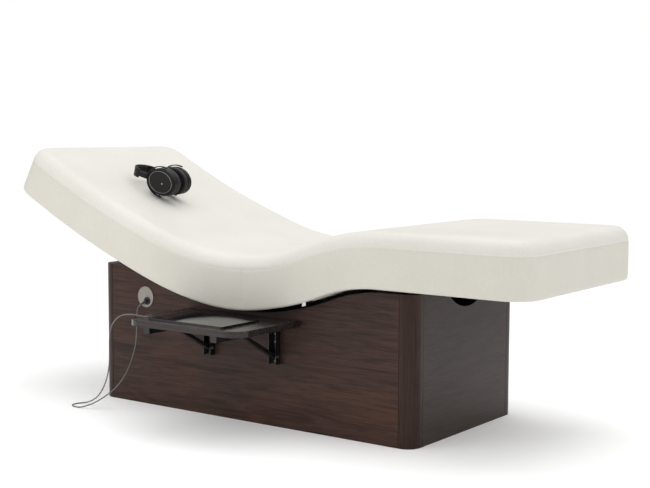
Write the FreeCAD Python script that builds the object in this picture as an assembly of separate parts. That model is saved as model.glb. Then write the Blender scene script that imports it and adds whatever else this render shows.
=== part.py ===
"""Facial treatment bed: a one-piece wave cushion on a lifting frame, standing in a veneered box base.

Millimetres. +X runs to the foot end, -Y is the side with the folding tray, +Z is up.
The origin is on the floor under the cushion's lowest point, midway between the base's two long sides.
"""
import FreeCAD, Part
import math
import os

from FreeCAD import Placement, Rotation, Vector

# ---- Wave: the cushion's lower face, seen from the side, as arcs joined in tangent ----
SEAT_LOW_Z = 393.0        # lowest point of the wave, at X = 0
LUMBAR_R = 1218.0         # arc from the seat up towards the back
LUMBAR_TILT = 19.1        # slope in degrees where that arc ends
BACK_R = 4171.0           # long arc under the back and head
BACK_TILT = 29.64         # slope at the head end
THIGH_R = 960.0           # arc from the seat up towards the knees
THIGH_TILT = 21.2         # slope under the thighs
KNEE_R = 580.0            # arc over the knees, back to level
FOOT_X = 1078.0           # foot end of the cushion

# ---- Heights and lengths that reach past everything, for cutting ----
PAST = 1.0                # how far a cutting shape runs past the face it cuts
HIGH_UP = 1200.0
FAR_DOWN = -400.0
PANEL_CUT_H = 700.0       # thickness of what is cut away over the panels

# ---- Cushion and the board under it ----
CUSHION_W = 794.0
CUSHION_T = 182.0
COVER_T = 2.0
CUSHION_PLAN_R = 92.0     # corners seen from above
CUSHION_EDGE_R = 46.0     # rounding round the top
BOARD_T = 12.0
BOARD_INSET = 150.0
BOARD_PLAN_R = 50.0
RIB_DEPTH = 38.0
RIB_W = 40.0
RIB_Y = 150.0
RIB_HEAD_X = -930.0
RIB_FOOT_X = 600.0
BEAM_L = 118.0
BEAM_WALL = 5.0
TUBE_WALL = 2.5
FOOT_BEAM_W = 60.0
FOOT_BEAM_H = 34.0
FOOT_BEAM_END_X = 860.0
CLIP_X = 283.0            # the clips under the cushion's edges
CLIP_L = 14.0
CLIP_W = 40.0
CLIP_T = 3.0
CLIP_IN = 12.0            # from the cushion's side to the clip
CLIP_LIP = 12.0
STRAIGHT_ENOUGH = 0.01    # tolerance for finding edges and faces
CORNER_LEAN = 0.6         # the end's corner edges lean less along X than this

# ---- Base box ----
HEAD_END_X = -683.0
FOOT_END_X = 661.0
BASE_W = 664.0
BASE_H = 495.0
PANEL_T = 25.0
WAVE_GAP = 16.0           # from the cushion's lower face down to the panels' upper edges
POST_L = 51.0             # corner post along X
POST_W = 59.0             # corner post along Y
POST_R = 48.0
SEAM = 1.2                # open joint between a post and a panel
NOTCH_R = 170.0
NOTCH_LOW_Z = 414.0
BOTTOM_T = 22.0
FOOT_PAD_R = 22.0
FOOT_PAD_T = 12.0
FOOT_STUD_R = 5.0
FOOT_WELL_GAP = 2.0
FOOT_X_OUT = 540.0
FOOT_Y_OUT = 190.0

# ---- Lifting columns ----
COLUMN_X = {"head": -390.0, "foot": 430.0}
RAIL_Y = 190.0
RAIL_W = 50.0
RAIL_H = 30.0
RAIL_Z = BOTTOM_T + 1.0
RAIL_HALF_L = 575.0
COLUMN_L = 132.0          # outer stage along X
COLUMN_W = 98.0           # outer stage along Y
COLUMN_WALL = 4.0
STAGE_STEP = 13.0         # each stage is this much smaller outside than the one round it
STAGE_TOPS = (330.0, 337.0, 345.0)
COLLAR_H = 12.0
TOP_PLATE_T = 8.0
RUN_GAP = 0.3             # between faces that slide on each other
MOTOR_L = 96.0
MOTOR_W = 74.0
MOTOR_H = 120.0
MOTOR_R = 10.0
COLUMN_R = 8.0            # outer corners of a stage
COLUMN_INNER_R = 4.0
STAGE_LIFTS = (0.0, 8.0, 16.0)    # each stage's lower end above the floor frame
CROSS_MEMBER_PAST = 20.0  # each side of the column on it

# ---- Electrics in the base ----
CONTROL_X = (-60.0, 130.0)
CONTROL_Y = (-70.0, 60.0)
CONTROL_H = 60.0
CASE_R = 6.0
AMP_X = (-590.0, -480.0)
AMP_Y = (-150.0, 60.0)
AMP_H = 52.0
INLET_X = (-560.0, -530.0)
INLET_Z = (70.0, 94.0)
INLET_PLATE = (50.0, 34.0)
INLET_SOCKET = (25.0, 17.0)
INLET_DEEP = 30.0
INLET_RECESS = 22.0
INLET_PLATE_T = 3.0
INLET_PLATE_R = 4.0
INLET_GAP = 1.0
INLET_PINS = ((-7.0, -2.0), (0.0, 2.0), (7.0, -2.0))    # along X and Z from the middle
INLET_PIN = (2.0, 4.0)    # along X and Z
INLET_PIN_SHORT = 6.0     # the pins end this far inside the panel's face

# ---- Folding tray on its two brackets ----
TRAY_X = (-254.0, 230.0)
TRAY_BACK_Y = -337.0
TRAY_FRONT_Y = -650.0
TRAY_TOP_Z = 366.0
TRAY_T = 21.0
TRAY_CORNER_R = 60.0
TRAY_EDGE_R = 3.0
BRACKET_X = {"left": -155.0, "right": 130.0}
HINGE_Y = -346.0
HINGE_Z = 333.5
PIVOT_Z = 238.4           # lower pivot, straight below the hinge
STRUT_L = 197.4
STRUT_ANGLE = 28.8        # above level when the tray is up
WALL_ARM_LOW_Z = 213.0
WALL_ARM_W = 32.0
WALL_ARM_T = 2.5
SHELF_ARM_W = 25.4
SHELF_ARM_T = 2.0
SHELF_ARM_L = 302.0       # the strut's end comes to 298.5 when the tray hangs down
STRUT_W = 17.0
PIN_R = 3.0
PIN_GAP = 0.05            # radial running clearance on a pin
PIN_HEAD_R = 5.0
PIN_HEAD_T = 2.5
WALL_WEB_T = 3.0
WALL_FLANGE_R = 10.0      # rounding of the wall arm's flanges about the hinge
SHELF_WEB_T = 3.0
SHELF_FLANGE_R = 8.5
NOTCH_HALF = 4.5          # half-width of the shelf arm's notch for the lower pivot
STRUT_END_R = 6.0
ROLLER_R = 4.5
ROLLER_PIN_R = 2.5
SCREW_R = 2.0
SCREW_HEAD_R = 4.0
SCREW_HEAD_T = 2.0
SCREW_Z = (222.0, 285.0, 312.0)
SHELF_SCREW_Y = (-405.0, -480.0, -570.0)

# ---- Sockets, plug and cord on the front panel ----
PLATE_X = -463.5
PLATE_Z = 387.0
PLATE_R = 37.5
PLATE_T = 3.0
PLATE_EDGE_R = 1.2
PLATE_BORE_R = 30.0
BOSS_GAP = 0.3
BOSS_WALL = 2.7
PLATE_WEB = 2.0
JACK_R = 11.0
JACK_DEEP = 16.0
JACK_BORE_DEEP = 12.0
JACK_RING_W = 3.0
JACK_RING_T = 2.5
JACK_DISH_R = 9.0
JACK_DISH_T = 0.5         # metal left between the dish and the plate's face
PLUG_PIN_END = 8.0        # how far the pin reaches inside the panel's face
PLUG_GRIP_SHARE = 0.45    # the grip's share of the way from the heel to the cord
PLUG_PIN_R = 1.75
PLUG_GRIP_R = 4.6
PLUG_SHELL_L = 12.0
PLUG_SHELL_W = 10.0
PLUG_SHELL_H = 4.8
PLUG_SLEEVE_R = 2.9
SLEEVE_LIP = 0.2          # a sleeve's narrow end is this much thicker than the cord
JACK_SLEEVE_LIP = 0.4
JACK_DX = 9.0             # jack socket's offset from the middle of the plate
JACK_DZ = -14.0
CORD_D = 4.4
ARC_SHARE = 0.45          # how much of the shorter run an arc takes
CORD_POINTS = [
    (-475.0, -346.0, 359.5), (-486.5, -348.75, 351.92), (-490.5, -350.0, 336.0), (-489.0, -352.0, 312.0),
    (-484.0, -359.0, 276.0), (-475.0, -371.0, 234.0), (-466.0, -392.0, 194.0), (-460.0, -420.0, 150.0),
    (-465.0, -448.0, 108.0), (-483.0, -474.0, 72.0), (-509.0, -496.0, 46.0), (-538.0, -513.0, 25.0),
    (-568.0, -524.0, 11.0), (-599.0, -532.0, 2.2), (-628.0, -533.0, 2.2), (-651.0, -520.0, 2.2),
    (-658.0, -496.0, 2.2), (-648.0, -477.0, 2.5), (-622.0, -472.0, 7.0), (-585.0, -476.0, 22.0),
    (-550.0, -484.0, 44.0), (-517.0, -494.0, 76.0), (-488.0, -505.0, 114.0), (-463.0, -518.0, 155.0),
    (-444.0, -533.0, 199.0), (-427.0, -550.0, 243.0), (-405.0, -570.0, 286.0), (-375.0, -590.0, 322.0),
    (-338.0, -606.0, 351.0), (-298.0, -616.0, 370.0), (-262.0, -615.0, 375.0), (-235.0, -608.0, 373.0),
    (-212.0, -602.0, 370.0), (-190.0, -602.0, 370.0),
]

# ---- Tablet on the tray ----
TABLET_X = (-170.0, 146.0)
TABLET_Y = (-626.0, -436.0)
TABLET_T = 7.0
TABLET_CORNER_R = 9.0
TABLET_RIM = 1.2
GLASS_T = 1.0

# ---- Headphones on the back rest ----
PHONES_STATION = 701.0    # distance up the cushion's lower face from the seat's lowest point
PHONES_Y = -81.0
PHONES_YAW = 5.6          # turn on the cushion, in degrees
PHONES_DROP = 7.2         # how far the band leans down onto the cushion, in degrees
PHONES_CLEAR = 1.5
CUP_R = 55.0              # the oval's half width, measured to the yoke's inside
CUP_LONGER = 13.0         # how much more the oval's half length is
CUP_T = 25.0
EAR_PAD_T = 19.0
CUP_OUTSIDE = 58.0        # from the middle to a cup's outer face
BAND_TOP = 161.0          # from the cups' axis to the top of the band
BAND_W = 34.0
BAND_T = 4.0
BAND_ARCH_R = 44.0
BAND_STRAIGHT = 76.0      # where the band's sleeves begin, up from the cups' axis
PAD_T = 7.0
PAD_HALF = 32.0
YOKE_PLANE = 46.0         # the forks' plane, from the middle
YOKE_W = 9.0
YOKE_T = 3.5
YOKE_PIN_R = 2.5
STEM_T = 2.4
STEM_W = 12.0
STEM_IN = 26.0            # stem inside its sleeve
SLEEVE_T = 6.0
SLEEVE_W = 20.0
CUP_DOME_R = 11.0
CUP_EDGE_IN = 4.0         # the shell's edge inside the yoke
EAR_PAD_IN = 3.0
EAR_PAD_ROUND = 0.42      # rounding, as a share of the ear cushion's thickness
YOKE_REACH = 10.0         # past the cup's edge
YOKE_PIN_IN = 10.0        # how far a pin reaches into the cup
SLEEVE_INTO_ARCH = 4.0
PAD_SHY = 2.0             # the pad is this much narrower than the band on each side
EAR_HOLE_R = 24.0

END_X = {-1: HEAD_END_X, 1: FOOT_END_X}
HALF_W = BASE_W / 2


# ---- Small helpers ----
def box(x, y, z):
    """A box from (low, high) pairs."""
    return Part.makeBox(x[1] - x[0], y[1] - y[0], z[1] - z[0], Vector(x[0], y[0], z[0]))


def rod(start, end, radius):
    """A round bar between two points."""
    line = Vector(*end) - Vector(*start)
    return Part.makeCylinder(radius, line.Length, Vector(*start), line)


def taper(start, end, first_radius, last_radius):
    """A cone between two points."""
    line = Vector(*end) - Vector(*start)
    return Part.makeCone(first_radius, last_radius, line.Length, Vector(*start), line)


def upright_edges(shape):
    """The straight edges that stand along Z."""
    found = []
    for edge in shape.Edges:
        if edge.Curve.TypeId == "Part::GeomLine" and abs(edge.tangentAt(edge.FirstParameter).z) > 0.999:
            found.append(edge)
    return found


def rounded_box(x, y, z, radius):
    """A box with its four upright edges rounded."""
    solid = box(x, y, z)
    return solid.makeFillet(radius, upright_edges(solid))


def square_tube(x, y, z, wall, axis):
    """A box tube, open at both ends along axis 0 or 1."""
    ranges = [(low + wall, high - wall) for low, high in (x, y, z)]
    ranges[axis] = ((x, y)[axis][0] - PAST, (x, y)[axis][1] + PAST)
    return box(x, y, z).cut(box(*ranges))


def both(items):
    """Several separate solids as one shape."""
    return Part.makeCompound(list(items))


def save(name, shape):
    """Writes one sub-part."""
    shape.exportStep(f"parts/{name}.step")


# ---- The wave curve ----
def down(angle):
    """Unit vector from an arc's centre to its lowest side, turned by a heading in degrees."""
    a = math.radians(angle)
    return Vector(math.sin(a), 0, -math.cos(a))


def wave_arcs():
    """Arcs from head to foot: (centre, radius, first heading, last heading). A radius below 0 curves down."""
    lumbar = Vector(0, 0, SEAT_LOW_Z + LUMBAR_R)
    back = lumbar + down(-LUMBAR_TILT) * (LUMBAR_R - BACK_R)
    thigh = Vector(0, 0, SEAT_LOW_Z + THIGH_R)
    knee = thigh + down(THIGH_TILT) * (THIGH_R + KNEE_R)
    return [
        (back, BACK_R, -BACK_TILT, -LUMBAR_TILT),
        (lumbar, LUMBAR_R, -LUMBAR_TILT, 0),
        (thigh, THIGH_R, 0, THIGH_TILT),
        (knee, -KNEE_R, THIGH_TILT, 0),
    ]


def wave_edges(offset, foot_x=FOOT_X):
    """The wave moved by offset towards the cushion, as edges from the head end to foot_x."""
    edges = []
    for centre, radius, first, last in wave_arcs():
        reach = radius - offset
        ends = [centre + down(a) * reach for a in (first, (first + last) / 2, last)]
        edges.append(Part.Arc(*ends).toShape())
    level = edges[-1].valueAt(edges[-1].LastParameter)
    edges.append(Part.makeLine(level, Vector(foot_x, 0, level.z)))
    return edges


def first_point(edges):
    return edges[0].valueAt(edges[0].FirstParameter)


def last_point(edges):
    return edges[-1].valueAt(edges[-1].LastParameter)


def wave_band(low, high, y, foot_x=FOOT_X):
    """The solid between two offsets of the wave, over a range of Y."""
    below = wave_edges(low, foot_x)
    above = wave_edges(high, foot_x)
    sides = [
        Part.makeLine(last_point(below), last_point(above)),
        Part.makeLine(first_point(below), first_point(above)),
    ]
    wire = Part.Wire(Part.__sortEdges__(below + above + sides))
    face = Part.Face(wire)
    face.translate(Vector(0, y[0], 0))
    return face.extrude(Vector(0, y[1] - y[0], 0))


def wave_point(distance, offset):
    """Point and heading on the back's side of the wave, at a distance from the seat's lowest point."""
    back, lumbar = wave_arcs()[:2]
    lumbar_length = LUMBAR_R * math.radians(LUMBAR_TILT)
    heading = -LUMBAR_TILT - math.degrees((distance - lumbar_length) / BACK_R)
    return back[0] + down(heading) * (back[1] - offset), heading


def above_wave(offset):
    """Everything over the wave: what is taken off the tops of the base's panels."""
    return wave_band(offset, PANEL_CUT_H, (-HALF_W - PAST, HALF_W + PAST), FOOT_X)


# ---- Cushion and its frame ----
def cushion_block(inset):
    """Block with rounded plan corners and a rounded upper rim, smaller all round by inset."""
    half = CUSHION_W / 2 - inset
    top = CUSHION_T - inset
    block = wave_band(inset, top, (-half, half), FOOT_X - inset)
    head = first_point(wave_edges(0)) + down(90 - BACK_TILT) * inset
    away = down(-90 - BACK_TILT)
    block = block.cut(slab_beyond(head, away))
    block = block.makeFillet(CUSHION_PLAN_R - inset, end_corners(block, half))
    return block.makeFillet(CUSHION_EDGE_R - inset, upper_rim(block, top))


def slab_beyond(point, away):
    """A big block on one side of a plane across X and Z."""
    size = 2 * CUSHION_W
    slab = Part.makeBox(size, size, size, Vector(0, -size / 2, -size / 2))
    slab.Placement = Placement(point, Rotation(Vector(1, 0, 0), away))
    return slab


def end_corners(block, half):
    """The four straight edges where an end meets a side."""
    found = []
    for edge in block.Edges:
        middle = edge.valueAt((edge.FirstParameter + edge.LastParameter) / 2)
        straight = edge.Curve.TypeId == "Part::GeomLine"
        upright = straight and abs(edge.tangentAt(edge.FirstParameter).x) < CORNER_LEAN
        across = abs(edge.tangentAt(edge.FirstParameter).y) if straight else 1
        if upright and abs(abs(middle.y) - half) < STRAIGHT_ENOUGH and across < STRAIGHT_ENOUGH:
            found.append(edge)
    return found


def upper_rim(block, top):
    """The edges between the block's upper face, which is in stretches, and its sides."""
    radii = [abs(radius - top) for _, radius, _, _ in wave_arcs()]
    level = last_point(wave_edges(top)).z
    rim = []
    for face in block.Faces:
        surface = face.Surface
        curved = hasattr(surface, "Radius") and any(abs(surface.Radius - r) < STRAIGHT_ENOUGH for r in radii)
        bounds = face.BoundBox
        flat = abs(bounds.ZMax - level) < STRAIGHT_ENOUGH and bounds.ZLength < STRAIGHT_ENOUGH
        if not (curved or flat):
            continue
        for edge in face.Edges:
            shared = [other for other in rim if other.isSame(edge)]
            if shared:
                rim.remove(shared[0])
            else:
                rim.append(edge)
    return rim


def cushion_cover():
    """Sewn cover, closed all round the foam."""
    return cushion_block(0).cut(cushion_block(COVER_T))


def wave_board():
    """Board that carries the cushion, set in from its edges, with rounded plan corners."""
    half = CUSHION_W / 2 - BOARD_INSET
    board = wave_band(-BOARD_T, 0, (-half, half), FOOT_X - BOARD_INSET)
    head = first_point(wave_edges(0)).x + BOARD_INSET
    trim = rounded_box((head, FOOT_X), (-half, half), (0, HIGH_UP), BOARD_PLAN_R)
    return board.common(trim)


def wave_ribs():
    """Two steel ribs bent to the wave, ending short of the foot panel."""
    ribs = []
    for y in (-RIB_Y, RIB_Y):
        half = RIB_W / 2
        rib = wave_band(-BOARD_T - RIB_DEPTH, -BOARD_T, (y - half, y + half), RIB_FOOT_X)
        inside = (y - half + TUBE_WALL, y + half - TUBE_WALL)
        low = -BOARD_T - RIB_DEPTH + TUBE_WALL
        rib = rib.cut(wave_band(low, -BOARD_T - TUBE_WALL, inside, RIB_FOOT_X + PAST))
        ribs.append(rib.common(box((RIB_HEAD_X, RIB_FOOT_X), (-HALF_W, HALF_W), (0, HIGH_UP))))
    return both(ribs)


def crossbeams():
    """Steel channels that join the ribs over each column, their sides cut to the ribs' lower edge."""
    under = wave_band(FAR_DOWN, -BOARD_T - RIB_DEPTH, (-HALF_W, HALF_W))
    low = STAGE_TOPS[2] + TOP_PLATE_T
    half = RIB_Y + RIB_W / 2
    beams = []
    for x in COLUMN_X.values():
        beam = box((x - BEAM_L / 2, x + BEAM_L / 2), (-half, half), (low, BASE_H)).common(under)
        inside = (x - BEAM_L / 2 + BEAM_WALL, x + BEAM_L / 2 - BEAM_WALL)
        beams.append(beam.cut(box(inside, (-half - PAST, half + PAST), (low + BEAM_WALL, BASE_H))))
    return both(beams)


def foot_beam():
    """Beam under the foot end, running out through the notch in the foot panel."""
    high = wave_edges(0)[-1].valueAt(0).z - BOARD_T
    x = (RIB_FOOT_X, FOOT_BEAM_END_X)
    y = (-FOOT_BEAM_W / 2, FOOT_BEAM_W / 2)
    return square_tube(x, y, (high - FOOT_BEAM_H, high), TUBE_WALL, 0)


def edge_clips():
    """Bent steel clips under the cushion's two long edges, each with a lip that hangs down."""
    edge = CUSHION_W / 2 - CLIP_IN
    keep = box((CLIP_X - CLIP_L / 2, CLIP_X + CLIP_L / 2), (-CUSHION_W, CUSHION_W), (0, HIGH_UP))
    clips = []
    for side in (-1, 1):
        tab = wave_band(-CLIP_T, 0, sorted((side * (edge - CLIP_W), side * edge)))
        lip = wave_band(-CLIP_LIP, 0, sorted((side * (edge - CLIP_T), side * edge)))
        clips.append(tab.fuse(lip).common(keep))
    return both(clips)


# ---- Base box ----
def side_panel(side):
    """A long panel; side is -1 for the front and 1 for the back."""
    x = (HEAD_END_X + POST_L + SEAM, FOOT_END_X - POST_L - SEAM)
    ends = sorted((side * (HALF_W - PANEL_T), side * HALF_W))
    panel = box(x, ends, (0, BASE_H)).cut(above_wave(-WAVE_GAP))
    if side < 0:
        outside = (PLATE_X, -HALF_W - PAST, PLATE_Z)
        panel = panel.cut(rod(outside, (PLATE_X, -HALF_W + PANEL_T + PAST, PLATE_Z), PLATE_BORE_R))
    else:
        panel = panel.cut(box(INLET_X, (HALF_W - PANEL_T - PAST, HALF_W + PAST), INLET_Z))
    return panel


def head_end_panel():
    y = HALF_W - POST_W - SEAM
    return box((HEAD_END_X, HEAD_END_X + PANEL_T), (-y, y), (0, BASE_H))


def foot_end_panel():
    y = HALF_W - POST_W - SEAM
    inside = FOOT_END_X - PANEL_T
    panel = box((inside, FOOT_END_X), (-y, y), (0, BASE_H)).cut(above_wave(-WAVE_GAP))
    middle = NOTCH_LOW_Z + NOTCH_R
    return panel.cut(rod((inside - PAST, 0, middle), (FOOT_END_X + PAST, 0, middle), NOTCH_R))


def post_range(end, side):
    """The ranges of X and Y that a corner post takes; end and side are each -1 or 1."""
    x = sorted((END_X[end] - end * POST_L, END_X[end]))
    y = sorted((side * (HALF_W - POST_W), side * HALF_W))
    return x, y


def corner_post(end, side):
    """A corner post with its outer edge rounded."""
    post = box(*post_range(end, side), (0, BASE_H))
    corner = Vector(END_X[end], side * HALF_W, BASE_H / 2)
    outer = min(upright_edges(post), key=lambda edge: edge.distToShape(Part.Vertex(corner))[0])
    return post.makeFillet(POST_R, [outer]).cut(above_wave(-WAVE_GAP))


def foot_places():
    """Where the levelling feet stand."""
    return [(x, y) for x in (-FOOT_X_OUT, 0, FOOT_X_OUT) for y in (-FOOT_Y_OUT, FOOT_Y_OUT)]


def bottom_board():
    """Board inside the panels and posts, lying on the floor, with a hole round each levelling foot."""
    inside = PANEL_T + RUN_GAP
    half_w = HALF_W - inside
    board = box((HEAD_END_X + inside, FOOT_END_X - inside), (-half_w, half_w), (0, BOTTOM_T))
    for end in (-1, 1):
        for side in (-1, 1):
            board = board.cut(box(*post_range(end, side), (-PAST, BOTTOM_T + PAST)))
    for x, y in foot_places():
        board = board.cut(rod((x, y, -PAST), (x, y, BOTTOM_T + PAST), FOOT_PAD_R + FOOT_WELL_GAP))
    return board


def levelling_feet():
    """Rubber-faced pads on threaded studs, each in its own bracket."""
    feet = []
    for x, y in foot_places():
        pad = rod((x, y, 0), (x, y, FOOT_PAD_T), FOOT_PAD_R)
        feet.append(pad.fuse(rod((x, y, FOOT_PAD_T), (x, y, RAIL_Z), FOOT_STUD_R)))
    return both(feet)


def floor_rails():
    """Two steel rails along the base, on the bottom board and the feet."""
    rails = []
    z = (RAIL_Z, RAIL_Z + RAIL_H)
    for side in (-1, 1):
        y = side * RAIL_Y
        across = (y - RAIL_W / 2, y + RAIL_W / 2)
        rails.append(square_tube((-RAIL_HALF_L, RAIL_HALF_L), across, z, TUBE_WALL, 0))
    return both(rails)


def floor_cross_members():
    """Steel members between the rails, under each column."""
    reach = RAIL_Y - RAIL_W / 2
    half = COLUMN_L / 2 + CROSS_MEMBER_PAST
    z = (RAIL_Z, RAIL_Z + RAIL_H)
    members = []
    for x in COLUMN_X.values():
        members.append(square_tube((x - half, x + half), (-reach, reach), z, TUBE_WALL, 1))
    return both(members)


# ---- Lifting columns ----
def stage(x, number):
    """One telescopic tube of a column; number 0 is the outer one."""
    length = COLUMN_L - number * STAGE_STEP
    width = COLUMN_W - number * STAGE_STEP
    low = RAIL_Z + RAIL_H + STAGE_LIFTS[number]
    z = (low, STAGE_TOPS[number])
    outer = rounded_box((x - length / 2, x + length / 2), (-width / 2, width / 2), z, COLUMN_R)
    inner_l = length / 2 - COLUMN_WALL
    inner_w = width / 2 - COLUMN_WALL
    through = (z[0] - PAST, z[1] + PAST)
    return outer.cut(rounded_box((x - inner_l, x + inner_l), (-inner_w, inner_w), through, COLUMN_INNER_R))


def collar(x, number):
    """Plastic glide in the mouth of a stage, round the stage inside it."""
    inner_l = (COLUMN_L - number * STAGE_STEP) / 2 - COLUMN_WALL
    inner_w = (COLUMN_W - number * STAGE_STEP) / 2 - COLUMN_WALL
    z = (STAGE_TOPS[number] - COLLAR_H, STAGE_TOPS[number])
    ring = rounded_box((x - inner_l, x + inner_l), (-inner_w, inner_w), z, COLUMN_INNER_R)
    next_l = (COLUMN_L - (number + 1) * STAGE_STEP) / 2 + RUN_GAP
    next_w = (COLUMN_W - (number + 1) * STAGE_STEP) / 2 + RUN_GAP
    through = (z[0] - PAST, z[1] + PAST)
    return ring.cut(rounded_box((x - next_l, x + next_l), (-next_w, next_w), through, COLUMN_R + RUN_GAP))


def column_motors():
    """A motor and gear housing beside the foot of each column."""
    motors = []
    for x in COLUMN_X.values():
        side = -math.copysign(1, x)
        near = x + side * COLUMN_L / 2
        far = near + side * MOTOR_L
        z = (RAIL_Z + RAIL_H, RAIL_Z + RAIL_H + MOTOR_H)
        motors.append(rounded_box(sorted((near, far)), (-MOTOR_W / 2, MOTOR_W / 2), z, MOTOR_R))
    return both(motors)


def top_plates():
    """Steel plates between the inner stages and the crossbeams."""
    low = STAGE_TOPS[2]
    half_l = BEAM_L / 2
    half_w = COLUMN_W / 2
    plates = []
    for x in COLUMN_X.values():
        plates.append(box((x - half_l, x + half_l), (-half_w, half_w), (low, low + TOP_PLATE_T)))
    return both(plates)


# ---- Electrics in the base ----
def control_box():
    return rounded_box(CONTROL_X, CONTROL_Y, (BOTTOM_T, BOTTOM_T + CONTROL_H), CASE_R)


def amplifier():
    return rounded_box(AMP_X, AMP_Y, (BOTTOM_T, BOTTOM_T + AMP_H), CASE_R)


def mains_inlet():
    """Three-pin inlet on a plate, set in the back panel."""
    x = (INLET_X[0] + INLET_X[1]) / 2
    z = (INLET_Z[0] + INLET_Z[1]) / 2
    plate = rounded_plate(x, z, INLET_PLATE, (HALF_W, HALF_W + INLET_PLATE_T))
    body_x = (INLET_X[0] + INLET_GAP, INLET_X[1] - INLET_GAP)
    body_z = (INLET_Z[0] + INLET_GAP, INLET_Z[1] - INLET_GAP)
    body = box(body_x, (HALF_W - INLET_DEEP, HALF_W), body_z)
    half_l = INLET_SOCKET[0] / 2
    half_h = INLET_SOCKET[1] / 2
    recess_y = (HALF_W - INLET_RECESS, HALF_W + INLET_PLATE_T + PAST)
    inlet = plate.fuse(body).cut(box((x - half_l, x + half_l), recess_y, (z - half_h, z + half_h)))
    pin_l = INLET_PIN[0] / 2
    pin_h = INLET_PIN[1] / 2
    pin_y = (HALF_W - INLET_RECESS, HALF_W - INLET_PIN_SHORT)
    for dx, dz in INLET_PINS:
        inlet = inlet.fuse(box((x + dx - pin_l, x + dx + pin_l), pin_y, (z + dz - pin_h, z + dz + pin_h)))
    return inlet


def rounded_plate(x, z, size, y):
    """A plate that stands in the XZ plane, with rounded corners."""
    solid = box((x - size[0] / 2, x + size[0] / 2), y, (z - size[1] / 2, z + size[1] / 2))
    edges = [edge for edge in solid.Edges if abs(edge.Length - (y[1] - y[0])) < STRAIGHT_ENOUGH]
    return solid.makeFillet(INLET_PLATE_R, edges)


def socket_plate():
    """Round metal plate with a shallow rim, on a hollow boss that fills the panel's bore."""
    y = -HALF_W
    centre = Vector(PLATE_X, y, PLATE_Z)
    disc = Part.makeCylinder(PLATE_R, PLATE_T, centre, Vector(0, -1, 0))
    rim = max(disc.Edges, key=lambda edge: -edge.BoundBox.YMin if edge.Closed else -1e9)
    disc = disc.makeFillet(PLATE_EDGE_R, [rim])
    boss_r = PLATE_BORE_R - BOSS_GAP
    boss = Part.makeCylinder(boss_r, PANEL_T, centre, Vector(0, 1, 0))
    web = Vector(PLATE_X, y + PLATE_WEB, PLATE_Z)
    hollow = Part.makeCylinder(boss_r - BOSS_WALL, PANEL_T, web, Vector(0, 1, 0))
    jack = rod(jack_at(y - PLATE_T - PAST), jack_at(y + PANEL_T + PAST), JACK_R)
    return disc.fuse(boss.cut(hollow)).cut(jack)


def jack_at(y):
    """A point on the jack socket's axis."""
    return (PLATE_X + JACK_DX, y, PLATE_Z + JACK_DZ)


def jack_socket():
    """Black socket with a raised ring and a bore for the plug."""
    y = -HALF_W
    face = y - PLATE_T
    top = face - JACK_RING_T
    body = rod(jack_at(face), jack_at(y + JACK_DEEP), JACK_R)
    ring = rod(jack_at(top), jack_at(face), JACK_R + JACK_RING_W)
    dish = rod(jack_at(top - PAST), jack_at(face - JACK_DISH_T), JACK_DISH_R)
    bore = rod(jack_at(top - PAST), jack_at(y + JACK_BORE_DEEP), PLUG_PIN_R + PIN_GAP)
    return body.fuse(ring).cut(dish).cut(bore)


def jack_plug():
    """Right-angled plug: pin in the socket, grip pointing down and to the head end, then a tapered sleeve."""
    face = -HALF_W - PLATE_T - JACK_DISH_T
    heel = Vector(*jack_at(face - PLUG_GRIP_R - 1))
    exit_point = Vector(*CORD_POINTS[0])
    towards = exit_point - heel
    sleeve_start = heel + towards * PLUG_GRIP_SHARE
    grip = rod(heel, sleeve_start, PLUG_GRIP_R).fuse(Part.makeSphere(PLUG_GRIP_R, heel))
    stub = rod(jack_at(face), heel, PLUG_GRIP_R - 0.5)
    pin = rod(jack_at(-HALF_W + PLUG_PIN_END), jack_at(face), PLUG_PIN_R)
    sleeve = taper(sleeve_start, exit_point, PLUG_GRIP_R - 2 * JACK_SLEEVE_LIP, CORD_D / 2 + JACK_SLEEVE_LIP)
    return grip.fuse([stub, pin, sleeve])


# ---- Cord ----
def cord_radii(points):
    """The radius of the arc at each inner point of the route."""
    radii = []
    for before, here, after in zip(points, points[1:], points[2:]):
        turn = (here - before).getAngle(after - here)
        shorter = min((here - before).Length, (after - here).Length)
        radii.append(ARC_SHARE * shorter / math.tan(turn / 2))
    return radii


def cord():
    """Tube of straight runs joined by tangent arcs."""
    points = [Vector(*p) for p in CORD_POINTS]
    radii = cord_radii(points)
    edges = []
    at = points[0]
    for (before, here, after), radius in zip(zip(points, points[1:], points[2:]), radii):
        come = (here - before).normalize()
        leave = (after - here).normalize()
        half = come.getAngle(leave) / 2
        cut_back = radius * math.tan(half)
        start = here - come * cut_back
        end = here + leave * cut_back
        inward = (leave - come).normalize()
        middle = here + inward * radius * (1 / math.cos(half) - 1)
        edges.append(Part.LineSegment(at, start).toShape())
        edges.append(Part.Arc(start, middle, end).toShape())
        at = end
    edges.append(Part.LineSegment(at, points[-1]).toShape())
    path = Part.Wire(edges)
    section = Part.Wire(Part.makeCircle(CORD_D / 2, points[0], points[1] - points[0]))
    tube = path.makePipeShell([section], True, True)
    expected = math.pi * (CORD_D / 2) ** 2 * path.Length
    print("cord radii", [round(r) for r in radii])
    print("cord length", round(path.Length), "volume over expected", round(tube.Volume / expected, 4))
    return tube


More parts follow.
